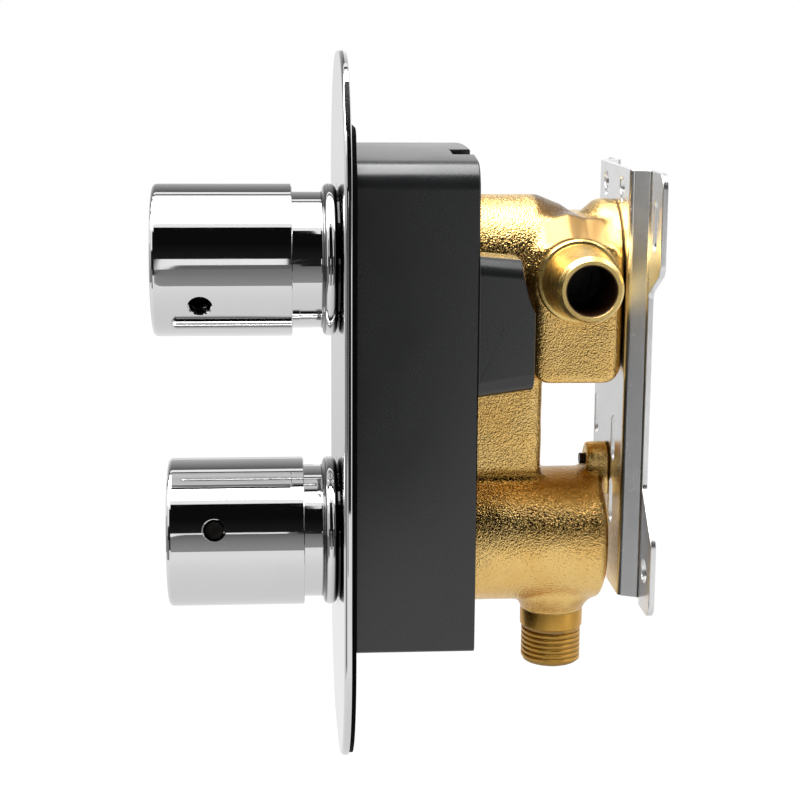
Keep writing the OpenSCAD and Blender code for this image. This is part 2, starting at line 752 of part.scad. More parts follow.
// The section of one side hood, from the barrel's side out to the housing's side
module hood_section(wall = 0) {
    r = housing_round - wall / 2;
    w = hood_width - 2 * wall;
    h = hood_height - 2 * wall;
    round_rect(w, h, r);
}

// The length of a hood, leaning by an angle about the housing's rear edge
module hood_arm(wall, lean) {
    translate([housing_width / 2 - hood_width / 2, face_y + housing_rear, hood_z])
        rotate([lean - 90, 0, 0]) translate([0, 0, -hood_reach / 2 - wall])
        linear_extrude(2 * hood_reach) hood_section(wall);
}

// A hood on the +X side, drafted above and below; a wall shrinks it to the hollow inside
module hood(wall = 0) {
    length = hood_reach + housing_wall + wall;
    intersection() {
        hood_arm(wall, -hood_fall);
        hood_arm(wall, hood_rise);
        translate([housing_width / 2, face_y + housing_rear + hood_reach - wall - length / 2, hood_z])
            cube([housing_width, length, 2 * hood_height], center = true);
    }
}

// The round cut behind a hood's upper corner
module hood_cut() {
    translate([housing_width / 2 - hood_width - cut, face_y + inlet_back + hood_cut_back,
        hood_z + hood_height / 2]) rotate([0, 90, 0])
        cylinder(h = hood_width + 2 * cut, r = hood_cut_radius, $fn = fine);
}

module guard_housing() color("darkslategray") difference() {
    union() {
        difference() {
            translate([0, face_y + housing_rear, 0]) rotate([90, 0, 0]) linear_extrude(housing_depth)
                housing_outline();
            translate([0, face_y + housing_rear - housing_wall, 0]) rotate([90, 0, 0])
                linear_extrude(housing_depth) housing_outline(housing_wall);
        }
        for (side = [0, 1]) mirror([side, 0, 0]) hood();
    }
    for (side = [0, 1]) mirror([side, 0, 0]) {
        hood(housing_wall);
        hood_cut();
        translate([notch_x, face_y + housing_rear - notch_depth / 2 + cut / 2, housing_top])
            cube([notch_width, notch_depth + cut, 4 * housing_wall], center = true);
    }
    // Openings in the rear wall for the two barrels and the column; the lower one also relieves the floor
    rod(upper_z, housing_rear - housing_wall - cut, housing_rear + cut, upper_barrel_dia / 2 + loose_gap);
    rod(lower_barrel_z, nose_end - cut, housing_rear + cut, lower_barrel_dia / 2 + loose_gap);
    translate([0, face_y + housing_rear, (upper_z + lower_z) / 2])
        cube([column_width + 2 * loose_gap, 4 * housing_wall, axis_spacing], center = true);
}

// Places a flat outline so that it is extruded back from a distance behind the plate's front
module standing(front) {
    translate([0, face_y + front, plate_rise]) rotate([-90, 0, 0]) children();
}

module plate_gasket() color("black") difference() {
    width = plate_width - 2 * gasket_inset;
    top_round = 12;
    standing(plate_thick) linear_extrude(gasket_thick) intersection() {
        round_rect(width, plate_height - 2 * gasket_inset, plate_corner - gasket_inset);
        translate([0, plate_rise - gasket_top + plate_height / 2])
            round_rect(width, plate_height, top_round);
    }
    translate([0, face_y + gasket_back + cut, 0]) rotate([90, 0, 0]) linear_extrude(gasket_thick + 2 * cut)
        housing_outline(housing_wall + gasket_lip);
}

module face_plate() color("gainsboro") difference() {
    standing(0) bevelled_plate(plate_width, plate_height, plate_corner, plate_thick, plate_bevel);
    for (z = [upper_z, lower_z]) rod(z, -cut, plate_thick + cut, hole_r);
}

// A chrome sleeve: neck inside the knob's recess, flare, two beads and a tail behind the plate
module sleeve(z, rear) {
    front = rear - knob_recess_depth + end_gap;
    inner = tail_r - sleeve_wall;
    bead_half = bead_width / 2;
    flare_rear = -beads_len;
    flare_rise = bead_r - bead_half * (1 - cos(80)) - sleeve_r;
    flare = [for (a = [0:15:75])
        [sleeve_r + flare_rise * (1 - cos(a)), flare_rear - flare_len * (1 - sin(a))]];
    bead = function(i) arc([bead_r - bead_half, -beads_len + bead_width * (i + 0.5)],
        bead_half, -80, 80, 10);
    turned(z, concat(
        [[inner, front], [sleeve_r - 0.5, front], [sleeve_r, front + 0.5]],
        flare, bead(0), bead(1),
        [[bead_r - bead_half, 0], [tail_r, 0], [tail_r, nose_end - loose_gap],
         [inner, nose_end - loose_gap]]));
}

module temperature_sleeve() color("whitesmoke") sleeve(upper_z, upper_rear);

module flow_sleeve() color("whitesmoke") sleeve(lower_z, lower_rear);

// A rubber ring of round section about an axis at height z
module o_ring(z, back, outer, section = 1) {
    at_axis(z) translate([0, 0, back]) rotate_extrude($fn = fine)
        translate([outer - section, 0]) circle(section, $fn = 24);
}

module temperature_sleeve_ring() color("black") o_ring(upper_z, ring_back, nose_dia / 2 + 0.25, 0.95);

module flow_sleeve_ring() color("black") o_ring(lower_z, ring_back, nose_dia / 2 + 0.25, 0.95);

// A cartridge nut with a hexagon that stands in front of the barrel
module cartridge_nut(z) {
    difference() {
        union() {
            rod(z, barrel_front, collar_front, collar_dia / 2);
            at_axis(z) translate([0, 0, nut_hex_front])
                cylinder(h = nut_hex_len, d = nut_flats / cos(30), $fn = 6);
        }
        rod(z, nut_hex_front - cut, collar_front + cut, nose_tube_r + bore_gap);
    }
}

module thermostat_nut() color("goldenrod") cartridge_nut(upper_z);

module flow_nut() color("goldenrod") cartridge_nut(lower_z);

// Windows through a cartridge wall, spread round its axis
module windows(z, front, rear, radius, count = 4, width = 9) {
    at_axis(z) for (i = [0:count - 1]) rotate(360 / count * (i + 0.5))
        translate([radius / 2, -width / 2, front]) cube([radius, width, rear - front]);
}

module thermostat_housing() color("burlywood") difference() {
    turned(upper_z, [[spindle_dia / 2 + running_gap, nose_tube_front], [nose_tube_r, nose_tube_front],
        [nose_tube_r, collar_front], [collar_dia / 2, collar_front], [collar_dia / 2, collar_seat],
        [thermostat_r, collar_seat], [thermostat_r, thermostat_step - loose_gap],
        [tail_radius, thermostat_step - loose_gap], [tail_radius, tail_end],
        [tail_wall, tail_end], [tail_wall, tail_end - tail_wall],
        [tail_radius - tail_wall, tail_end - tail_wall], [tail_radius - tail_wall, cavity_rear],
        [cavity_r, cavity_rear], [cavity_r, cavity_front],
        [spindle_dia / 2 + running_gap, cavity_front]]);
    // Windows for mixed water, cold water and hot water, from front to rear
    windows(upper_z, waterway_back - 6, waterway_back + 6, thermostat_r + cut);
    windows(upper_z, cavity_rear - 5, cavity_rear - 1, thermostat_r + cut);
    windows(upper_z, inlet_back - 7, tail_end - 2 * tail_wall, tail_radius + cut, 4, 5);
    for (s = upper_seals) seal_groove(upper_z, s, thermostat_r);
}

// A groove for a seal ring round a cartridge
module seal_groove(z, front, radius) {
    tube(z, front, front + seal_width, radius + cut, radius - seal_width + 0.5);
}

// The rubber ring that sits in such a groove and bears on the bore
module seal_ring(z, front, radius) {
    section = seal_width / 2 - 0.2;
    o_ring(z, front + seal_width / 2, radius + bore_gap - 0.05, section);
}

module thermostat_seals() color("black") for (s = upper_seals) seal_ring(upper_z, s, thermostat_r);

// The front of a spindle: splined head, bearing shaft, thrust flange and a thinner stem up to stem_end
module spindle_front(z, rear, stem_end) {
    head_front = rear - knob_recess_depth - head_back;
    at_axis(z) translate([0, 0, head_front]) spline(head_len);
    turned(z, [[0, head_front + head_len], [spindle_dia / 2, head_front + head_len],
        [spindle_dia / 2, cavity_front + loose_gap], [flange_r, cavity_front + loose_gap],
        [flange_r, thread_front], [thread_r, thread_front], [thread_r, stem_end], [0, stem_end]]);
}

module thermostat_spindle() color("goldenrod") spindle_front(upper_z, upper_rear, thread_end);

module thermostat_slider() color("darkkhaki") {
    bore_r = thread_r + loose_gap;
    body_r = cavity_r - 0.7;
    crown = 4;
    turned(upper_z, [[bore_r, slider_front], [body_r, slider_front], [body_r, slider_rear - crown],
        [body_r - crown, slider_rear], [0, slider_rear], [0, slider_rear - crown - 0.5],
        [bore_r, slider_rear - crown - 0.5]]);
}

module wax_element() color("peru") turned(upper_z, [[0, slider_rear], [3, slider_rear],
    [3, slider_rear + 2], [4.5, slider_rear + 2], [4.5, slider_rear + 4], [6.6, slider_rear + 4],
    [6.6, slider_rear + 6], [4.5, slider_rear + 6], [4.5, piston_front], [0, piston_front]]);

module thermostat_piston() color("gray") difference() {
    rod(upper_z, piston_front, piston_front + piston_len, cavity_r - running_gap);
    at_axis(upper_z) for (i = [0:5]) rotate(60 * i) translate([cavity_r - 2.9, 0, piston_front - cut])
        cylinder(h = piston_len + 2 * cut, r = 1.8, $fn = 24);
}

module return_spring() color("silver") {
    front = piston_front + piston_len;
    wire_r = 0.6;
    at_axis(upper_z) translate([0, 0, front])
        coil(tail_radius - tail_wall - wire_r - 0.8, wire_r, 7, tail_end - tail_wall - front);
}

// The ring on the cartridge's nose; its lug leaves the tab free between the two ends of its travel
module temperature_stop_ring() color("ivory") {
    ring_front = nose_tube_front + 0.5;
    lug_front = nose_tube_front - tab_thick - cut;
    lug_inner = nose_tube_r + 0.6;
    lug_outer = stop_r - 0.4;
    tube(upper_z, ring_front, nut_hex_front, stop_r, nose_tube_r + 0.1);
    at_axis(upper_z) rotate(cold_turn + tab_angle / 2 + stop_gap)
        rotate_extrude(angle = stop_sweep, $fn = fine)
        polygon([[lug_inner, lug_front], [lug_outer, lug_front],
            [lug_outer, ring_front + cut], [lug_inner, ring_front + cut]]);
}

// The splined insert that seats inside a knob; its rear skirt ends at skirt_end
module knob_insert(z, rear, skirt_end) {
    floor = rear - knob_recess_depth;
    front = floor - insert_len;
    socket_len = head_back + head_gap;
    difference() {
        turned(z, [[0, front], [insert_dia / 2 - 1, front], [insert_dia / 2, front + 1],
            [insert_dia / 2, floor], [skirt_r, floor], [skirt_r, skirt_end], [0, skirt_end]]);
        at_axis(z) translate([0, 0, floor - socket_len]) spline(socket_len + skirt_end - floor + cut, 0.05);
        rod(z, floor - head_back + head_len - bore_gap, skirt_end + cut, spindle_dia / 2 + 0.1);
    }
}

module temperature_adapter() color("ivory") {
    skirt_end = nose_tube_front - skirt_clear;
    knob_insert(upper_z, upper_rear, skirt_end);
    at_axis(upper_z) rotate(-tab_angle / 2) rotate_extrude(angle = tab_angle, $fn = fine)
        polygon([[skirt_r - 0.5, skirt_end - tab_thick], [stop_r - 0.4, skirt_end - tab_thick],
            [stop_r - 0.4, skirt_end], [skirt_r - 0.5, skirt_end]]);
}

module flow_adapter() color("ivory") knob_insert(lower_z, lower_rear, lower_rear + 2);

// Turns a local X axis to the knob's radial hole
module at_hole(z, reach, angle) {
    at_axis(z) translate([0, 0, -reach + knob_hole_back]) rotate(angle) children();
}

// A socket grub screw under the radial hole, bearing on the insert
module grub_screw(z, reach, angle) {
    seat = insert_dia / 2;
    length = 6;
    at_hole(z, reach, angle) rotate([0, 90, 0]) difference() {
        translate([0, 0, seat]) cylinder(h = length, d = grub_dia - 0.1, $fn = small);
        translate([0, 0, seat + length - 2.5]) cylinder(h = length, d = 0.55 * grub_dia, $fn = 6);
    }
}

module temperature_grub_screw() color("dimgray") grub_screw(upper_z, upper_reach, upper_hole_angle);

module flow_grub_screw() color("dimgray") grub_screw(lower_z, lower_reach, -lower_hole_angle);

// A knob: turned shell with rounded front edge, recess for the sleeve and a hub round the insert
module knob(z, reach, angle) {
    front = -reach;
    rear = front + knob_len;
    floor = rear - knob_recess_depth;
    seat_r = insert_dia / 2;
    hub_r = seat_r + 2.5;
    shell_r = knob_r - knob_wall;
    insert_front = floor - insert_len;
    edge = 0.3;
    difference() {
        turned(z, concat(
            [[0, front]], arc([knob_r - knob_round, front + knob_round], knob_round, -90, 0),
            [[knob_r, rear - edge], [knob_r - edge, rear], [recess_r, rear], [recess_r, floor],
             [shell_r, floor], [shell_r, insert_front], [hub_r, insert_front], [hub_r, floor],
             [seat_r, floor], [seat_r, insert_front], [0, insert_front]]));
        at_hole(z, reach, angle) rotate([0, 90, 0]) {
            cylinder(h = knob_r, d = grub_dia, $fn = small);
            translate([0, 0, shell_r - cut]) cylinder(h = knob_r, d = knob_hole_dia, $fn = small);
            translate([0, 0, knob_r - hole_bevel - 0.1]) cylinder(h = hole_bevel + cut,
                d1 = knob_hole_dia, d2 = knob_hole_dia + 2 * (hole_bevel + cut), $fn = small);
        }
    }
}

module temperature_knob() color("whitesmoke") knob(upper_z, upper_reach, upper_hole_angle);

module flow_knob() color("whitesmoke") knob(lower_z, lower_reach, -lower_hole_angle);

module flow_housing() color("burlywood") difference() {
    turned(lower_z, [[spindle_dia / 2 + running_gap, nose_tube_front], [nose_tube_r, nose_tube_front],
        [nose_tube_r, collar_front], [collar_dia / 2, collar_front], [collar_dia / 2, collar_seat],
        [flow_r, collar_seat], [flow_r, flow_end], [flow_cavity_r, flow_end],
        [flow_cavity_r, cavity_front], [spindle_dia / 2 + running_gap, cavity_front]]);
    windows(lower_z, waterway_back - 7, waterway_back + 7, flow_r + cut, 4, 12);
    seal_groove(lower_z, lower_seal, flow_r);
}

module flow_seals() color("black") seal_ring(lower_z, lower_seal, flow_r);

module flow_spindle() color("goldenrod") {
    spindle_front(lower_z, lower_rear, driver_front);
    rod(lower_z, driver_front, disc_front, driver_r);
}

// A ceramic disc with two quarter-moon ports, turned by an angle
module ceramic_disc(front, radius, angle) {
    difference() {
        rod(lower_z, front, front + disc_thick, radius);
        at_axis(lower_z) for (i = [0, 1]) rotate(angle + 180 * i - 40)
            rotate_extrude(angle = 80, $fn = small)
                translate([3.5, front - cut]) square([6, disc_thick + 2 * cut]);
    }
}

module moving_disc() color("white") ceramic_disc(disc_front, disc_dia / 2, 90);

module fixed_disc() color("white") ceramic_disc(disc_face, flow_cavity_r - 0.1, 0);

module seat_seal() color("black") tube(lower_z, disc_rear, flow_end, flow_cavity_r - 0.1, disc_dia / 2 - 2);

// A check valve body on the +X side: seat wall outside, spider with a stem guide inside
module check_body() {
    outer = check_bore / 2 - 0.15;
    inner = poppet_dia / 2 + 0.9;
    translate([0, face_y + inlet_back, inlet_z]) rotate([0, 90, 0]) {
        rotate_extrude($fn = small) polygon([[inner, check_inner], [outer, check_inner],
            [outer, check_outer], [seat_dia / 2, check_outer], [seat_dia / 2, check_outer - seat_wall],
            [inner, check_outer - seat_wall]]);
        translate([0, 0, check_inner]) difference() {
            union() {
                cylinder(h = spider_thick, r = 3, $fn = small);
                for (i = [0:2]) rotate(120 * i) translate([0, -1, 0]) cube([inner + 0.5, 2, spider_thick]);
            }
            translate([0, 0, -cut])
                cylinder(h = spider_thick + 2 * cut, d = stem_dia + 2 * running_gap, $fn = small);
        }
    }
}

// A poppet closed against its seat, with its stem in the spider
module poppet() {
    face = check_outer - seat_wall;
    stem_front = check_inner + poppet_travel + 0.1;
    translate([0, face_y + inlet_back, inlet_z]) rotate([0, 90, 0]) {
        translate([0, 0, face - poppet_disc]) cylinder(h = poppet_disc, d = poppet_dia, $fn = small);
        translate([0, 0, stem_front]) cylinder(h = face - stem_front - cut, d = stem_dia, $fn = small);
    }
}

// The light spring between spider and poppet
module check_spring() {
    translate([check_inner + spider_thick, face_y + inlet_back, inlet_z]) rotate([0, 90, 0])
        coil(2.4, 0.4, 3, check_spring_len);
}

module hot_check_body() color("white") check_body();

module hot_poppet() color("gray") poppet();

module hot_check_spring() color("silver") check_spring();

module cold_check_body() color("white") mirror([1, 0, 0]) check_body();

module cold_poppet() color("gray") mirror([1, 0, 0]) poppet();

module cold_check_spring() color("silver") mirror([1, 0, 0]) check_spring();

wall_bracket();
bracket_screws();
lug_screw();
valve_body();
hot_inlet();
cold_inlet();
guard_housing();
plate_gasket();
face_plate();
temperature_sleeve();
temperature_sleeve_ring();
thermostat_nut();
temperature_stop_ring();
thermostat_housing();
thermostat_seals();
thermostat_spindle();
thermostat_slider();
wax_element();
thermostat_piston();
return_spring();
temperature_adapter();
temperature_grub_screw();
temperature_knob();
flow_sleeve();
flow_sleeve_ring();
flow_nut();
flow_housing();
flow_seals();
flow_spindle();
moving_disc();
fixed_disc();
seat_seal();
flow_adapter();
flow_grub_screw();
flow_knob();
hot_check_body();
hot_poppet();
hot_check_spring();
cold_check_body();
cold_poppet();
cold_check_spring();
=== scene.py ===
"""Looks of a concealed thermostatic shower valve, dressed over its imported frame."""
import json
import logging
import math
from collections.abc import Callable, Mapping, Sequence
from dataclasses import dataclass, field
from enum import Enum

import bmesh
import bpy
from mathutils import Matrix, Vector, noise

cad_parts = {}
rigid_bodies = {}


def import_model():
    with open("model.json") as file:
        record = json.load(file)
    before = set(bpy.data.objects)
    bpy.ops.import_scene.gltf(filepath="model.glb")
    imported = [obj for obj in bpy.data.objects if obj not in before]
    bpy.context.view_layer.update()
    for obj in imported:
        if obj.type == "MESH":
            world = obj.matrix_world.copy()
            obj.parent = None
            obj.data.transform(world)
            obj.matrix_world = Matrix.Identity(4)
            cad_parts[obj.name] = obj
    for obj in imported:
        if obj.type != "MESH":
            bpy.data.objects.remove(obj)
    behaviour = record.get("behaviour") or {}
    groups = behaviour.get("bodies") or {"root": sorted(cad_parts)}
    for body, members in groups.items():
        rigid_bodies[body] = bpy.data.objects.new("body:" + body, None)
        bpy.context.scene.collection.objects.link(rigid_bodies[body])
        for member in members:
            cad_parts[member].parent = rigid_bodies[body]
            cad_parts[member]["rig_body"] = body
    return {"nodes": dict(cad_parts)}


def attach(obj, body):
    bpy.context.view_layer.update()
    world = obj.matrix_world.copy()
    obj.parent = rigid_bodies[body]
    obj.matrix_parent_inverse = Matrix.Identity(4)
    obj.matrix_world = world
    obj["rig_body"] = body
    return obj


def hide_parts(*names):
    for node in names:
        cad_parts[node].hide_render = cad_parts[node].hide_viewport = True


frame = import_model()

LOG = logging.getLogger("shower_valve")
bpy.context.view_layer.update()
MM = 0.001
VALVE = "valve"

# Places in the row frame, in millimetres: X to the side, Y towards the wall, Z up
PLATE_FRONT = -103.0
UPPER_AXIS = 100.5
LOWER_AXIS = 5.5
OUTLET_BACK = -26.7
INLET_BACK = -24.2
INLET_HEIGHT = 96.2
VALLEY_BACK = -21.1

Colour = tuple[float, float, float]
Point = tuple[float, float, float]


def srgb(red: int, green: int, blue: int) -> Colour:
    """Turns a colour of 0 to 255 into the linear numbers that shaders use.

    Args:
        red: red part, 0 to 255.
        green: green part, 0 to 255.
        blue: blue part, 0 to 255.

    Returns:
        The linear red, green and blue.
    """
    def linear(part: int) -> float:
        """One part, from its curve to linear."""
        share = part / 255
        return share / 12.92 if share <= 0.04045 else ((share + 0.055) / 1.055) ** 2.4

    return linear(red), linear(green), linear(blue)


# Shader maths


class Value:
    """A number that changes over a surface: one socket, whose arithmetic adds Math nodes."""

    def __init__(self, tree: "ShaderTree", socket: bpy.types.NodeSocket) -> None:
        """Wraps a socket of a tree."""
        self.tree = tree
        self.socket = socket

    def math(self, operation: str, *operands: "float | Value") -> "Value":
        """Adds one Math node.

        Args:
            operation: the node's operation.
            operands: its inputs, in order.

        Returns:
            The node's result.
        """
        node = self.tree.add("ShaderNodeMath", {"operation": operation}, dict(enumerate(operands)))
        return Value(self.tree, node.outputs[0])

    def __add__(self, other: "float | Value") -> "Value":
        """Sum."""
        return self.math("ADD", self, other)

    __radd__ = __add__

    def __sub__(self, other: "float | Value") -> "Value":
        """Difference."""
        return self.math("SUBTRACT", self, other)

    def __rsub__(self, other: "float | Value") -> "Value":
        """Difference, from the other side."""
        return self.math("SUBTRACT", other, self)

    def __mul__(self, other: "float | Value") -> "Value":
        """Product."""
        return self.math("MULTIPLY", self, other)

    __rmul__ = __mul__

    def __pow__(self, other: float) -> "Value":
        """Power."""
        return self.math("POWER", self, other)

    def size(self) -> "Value":
        """The number without its sign."""
        return self.math("ABSOLUTE", self)

    def root(self) -> "Value":
        """Square root."""
        return self.math("SQRT", self)

    def least(self, other: "float | Value") -> "Value":
        """The lower of two numbers."""
        return self.math("MINIMUM", self, other)

    def most(self, other: "float | Value") -> "Value":
        """The higher of two numbers."""
        return self.math("MAXIMUM", self, other)

    def sine(self) -> "Value":
        """Sine."""
        return self.math("SINE", self)

    def ease(self, low: float, high: float) -> "Value":
        """Rises smoothly from 0 at low to 1 at high, or falls where low is the higher."""
        node = self.tree.add("ShaderNodeMapRange", {"interpolation_type": "SMOOTHSTEP"},
                             {0: self, 1: low, 2: high, 3: 0.0, 4: 1.0})
        return Value(self.tree, node.outputs[0])


Number = float | Value
Paint = Colour | bpy.types.NodeSocket


class ShaderTree:
    """A material under construction: its node tree and the few kinds of node that the finishes use."""

    def __init__(self, name: str) -> None:
        """Starts an empty material."""
        self.material = bpy.data.materials.new(name)
        self.material.use_nodes = True
        self.nodes = self.material.node_tree.nodes
        self.links = self.material.node_tree.links
        self.nodes.clear()

    def add(self, kind: str, settings: Mapping[str, object] | None = None,
            inputs: Mapping[int | str, object] | None = None) -> bpy.types.Node:
        """Adds any node.

        Args:
            kind: the node's type.
            settings: properties, set first.
            inputs: a number, colour, Value or socket for each input, by index or name.

        Returns:
            The node.
        """
        node = self.nodes.new(kind)
        for name, setting in (settings or {}).items():
            setattr(node, name, setting)
        for key, given in (inputs or {}).items():
            if isinstance(given, Value):
                given = given.socket
            if isinstance(given, bpy.types.NodeSocket):
                self.links.new(given, node.inputs[key])
            else:
                target = node.inputs[key]
                wants_alpha = target.type == "RGBA" and len(given) == 3
                target.default_value = (*given, 1.0) if wants_alpha else given
        return node

    def place(self) -> bpy.types.NodeSocket:
        """The surface point in the row frame, in metres."""
        return self.add("ShaderNodeTexCoord").outputs["Object"]

    def axes(self) -> tuple[Value, Value, Value]:
        """The surface point as three numbers in millimetres."""
        node = self.add("ShaderNodeSeparateXYZ", inputs={0: self.place()})
        return tuple(Value(self, node.outputs[i]) * (1 / MM) for i in range(3))

    def stretched(self, scale: Sequence[float]) -> bpy.types.NodeSocket:
        """The surface point with each axis scaled, for a pattern that runs one way."""
        return self.add("ShaderNodeMapping", {"vector_type": "TEXTURE"},
                        {"Vector": self.place(), "Scale": tuple(scale)}).outputs[0]

    def noise(self, grain: float, detail: float = 2.0, rough: float = 0.5, twist: float = 0.0,
              at: bpy.types.NodeSocket | None = None) -> Value:
        """Soft noise.

        Args:
            grain: size of one blotch in millimetres.
            detail: octaves of finer noise.
            rough: strength of the finer octaves.
            twist: distortion.
            at: the point it is read at; the surface point if left out.

        Returns:
            A number round 0.5.
        """
        node = self.add("ShaderNodeTexNoise", {"noise_dimensions": "3D"},
                        {"Vector": at or self.place(), "Scale": 1 / (grain * MM), "Detail": detail,
                         "Roughness": rough, "Distortion": twist})
        return Value(self, node.outputs["Fac"])

    def cells(self, grain: float) -> Value:
        """Distance to the nearest of many points, scattered about one grain apart in millimetres."""
        node = self.add("ShaderNodeTexVoronoi", {"feature": "F1"},
                        {"Vector": self.place(), "Scale": 1 / (grain * MM)})
        return Value(self, node.outputs["Distance"])

    def mix(self, share: Number, one: Paint, other: Paint) -> bpy.types.NodeSocket:
        """Blends two colours.

        Args:
            share: how much of the other colour.
            one: the first colour.
            other: the second colour.

        Returns:
            The blended colour.
        """
        node = self.add("ShaderNodeMix", {"data_type": "RGBA", "blend_type": "MIX"},
                        {0: share, 6: one, 7: other})
        return node.outputs[2]

    def bump(self, height: Value, depth: float,
             under: bpy.types.NodeSocket | None = None) -> bpy.types.NodeSocket:
        """Turns a height into a normal.

        Args:
            height: a number from 0 to 1.
            depth: what 1 stands for, in millimetres.
            under: a normal that this one goes on top of.

        Returns:
            The normal.
        """
        inputs = {"Height": height, "Distance": depth * MM, "Strength": 1.0}
        if under is not None:
            inputs["Normal"] = under
        return self.add("ShaderNodeBump", None, inputs).outputs[0]

    def surface(self, **inputs: object) -> bpy.types.Material:
        """Ends the tree in one principled shader.

        Args:
            inputs: the shader's inputs by name, with spaces as underscores.

        Returns:
            The finished material.
        """
        named = {name.replace("_", " "): given for name, given in inputs.items()}
        shader = self.add("ShaderNodeBsdfPrincipled", None, named)
        self.add("ShaderNodeOutputMaterial", None, {0: shader.outputs[0]})
        return self.material


# Finishes


@dataclass(frozen=True)
class PolishedChrome:
    """Bright polished chrome plate over brass."""

    name: str = "polished_chrome"
    tint: Colour = (0.80, 0.80, 0.80)
    hazed: Colour = (0.73, 0.73, 0.74)
    crevice_shade: Colour = (0.01, 0.01, 0.01)
    roughness: float = 0.03
    sleeve_reach: float = 26.2

    def build(self) -> bpy.types.Material:
        """Makes the material, with faint haze where cloths go, and painted shade in the crevice at a sleeve's
        foot and on the fillet in front of its bead.
        """
        tree = ShaderTree(self.name)
        x, y, z = tree.axes()
        from_axis = (x ** 2 + ((z - UPPER_AXIS) ** 2).least((z - LOWER_AXIS) ** 2)).root()
        sleeve = from_axis.ease(self.sleeve_reach, self.sleeve_reach - 0.3)
        # Painted shade: the chrome is darkened in the crevice where a sleeve meets the plate and on the
        # hollow fillet in front of its bead.
        foot_shade = sleeve * y.ease(-105.2, -104.4) * y.ease(PLATE_FRONT + 0.1, PLATE_FRONT)
        fillet = sleeve * y.ease(-108.9, -108.5) * y.ease(-106.9, -107.3)
        haze = tree.noise(14, 3, 0.55).ease(0.45, 0.75)
        scratch = tree.noise(0.35, 1, 0.5, at=tree.stretched((1, 14, 1))).ease(0.62, 0.8)
        rough = haze * 0.035 + scratch * 0.03 + self.roughness
        waves = tree.bump(tree.noise(9, 1, 0.4), 0.012)
        tint = tree.mix(haze * 0.25, self.tint, self.hazed)
        tint = tree.mix((foot_shade * 0.96).most(fillet * 0.75), tint, self.crevice_shade)
        return tree.surface(Base_Color=tint, Metallic=1.0, Roughness=rough, Normal=waves)


@dataclass(frozen=True)
class CastBrass:
    """Sand-cast brass: wrinkled, grainy skin, with the smooth faces that tools have left."""

    name: str = "cast_brass"
    gold: Colour = srgb(252, 212, 134)
    amber: Colour = srgb(240, 184, 92)
    umber: Colour = srgb(150, 98, 36)
    tan: Colour = srgb(133, 101, 64)
    valley_facet_shade: Colour = srgb(92, 58, 20)
    barrel_top_shade: Colour = srgb(142, 94, 14)
    red: Colour = srgb(196, 44, 20)
    grain: float = 0.85
    depth: float = 0.42

    def build(self) -> bpy.types.Material:
        """Makes the material, with wrinkles, worn grains, linished faces, painted shade on the valley's left
        facet and on the lower barrel's top, and a red inspection dab.
        """
        tree = ShaderTree(self.name)
        x, y, z = tree.axes()
        wrinkles = tree.noise(self.grain * 1.15, 1, 0.6, 0.8)
        sand = tree.noise(self.grain * 0.6, 1, 0.5)
        broad = tree.noise(15, 2, 0.5)
        smooth = self.worked(x, y, z)
        grainy = 1 - smooth * 0.95
        height = wrinkles * 0.52 + sand * 0.48
        normal = tree.bump(height * grainy, self.depth)
        base = tree.mix(broad.ease(0.38, 0.72) * 0.4, self.gold, self.amber)
        base = tree.mix(height.ease(0.46, 0.32) * grainy * 0.3, base, self.umber)
        base = tree.mix(smooth * 0.8, base, self.tan)
        # Painted shade and reflection: the left facet of the valley beside the inlet is darkened to brown.
        slope = y.ease(-38, -35.5) * y.ease(-20.5, -23) * z.ease(110, 113) * x.size().ease(17, 13)
        base = tree.mix(slope * 0.85, base, self.valley_facet_shade)
        # Painted shade and reflection: the top of the lower barrel, under the column and chamber, is tinted
        # amber-brown.
        flank = z.ease(14, 21) * z.ease(30, 27.5) * y.ease(-9, -12)
        base = tree.mix(flank * 0.75, base, self.barrel_top_shade)
        flare = z.ease(-15.5, -20) * z.ease(-23.6, -22.6)
        base = tree.mix(flare * broad.ease(0.3, 0.6) * 0.45, base, self.umber)
        dab = self.red_dab(tree, x, y, z)
        base = tree.mix(dab, base, self.red)
        rough = tree.noise(2.5, 2, 0.5) * 0.1 + smooth * 0.2 + 0.13
        metal = 1 - dab * 0.85
        return tree.surface(Base_Color=base, Metallic=metal, Roughness=rough, Normal=normal)

    def worked(self, x: Value, y: Value, z: Value) -> Value:
        """Where a tool or a belt has smoothed the casting, 0 to 1."""
        collar = z.ease(-23.2, -23.8)
        from_inlet = ((y - INLET_BACK) ** 2 + (z - INLET_HEIGHT) ** 2).root()
        cone = from_inlet.ease(22.6, 20.6) * x.size().ease(12.6, 14.8) * z.ease(105.5, 109)
        cone = cone * y.ease(-37.5, -34) * y.ease(-11.5, -15)
        rear = y.ease(-8.9, -8.6)
        return collar.most(cone).most(rear)

    def red_dab(self, tree: ShaderTree, x: Value, y: Value, z: Value) -> Value:
        """A small dab of red paint beside the inlet, 0 to 1."""
        off = ((y + 29) ** 2 + (z - 109.2) ** 2 + (x - 20) ** 2 * 0.3).root()
        ragged = tree.noise(1.2, 2, 0.6) * 2.4
        return (off + ragged).ease(3.0, 2.3) * 0.8


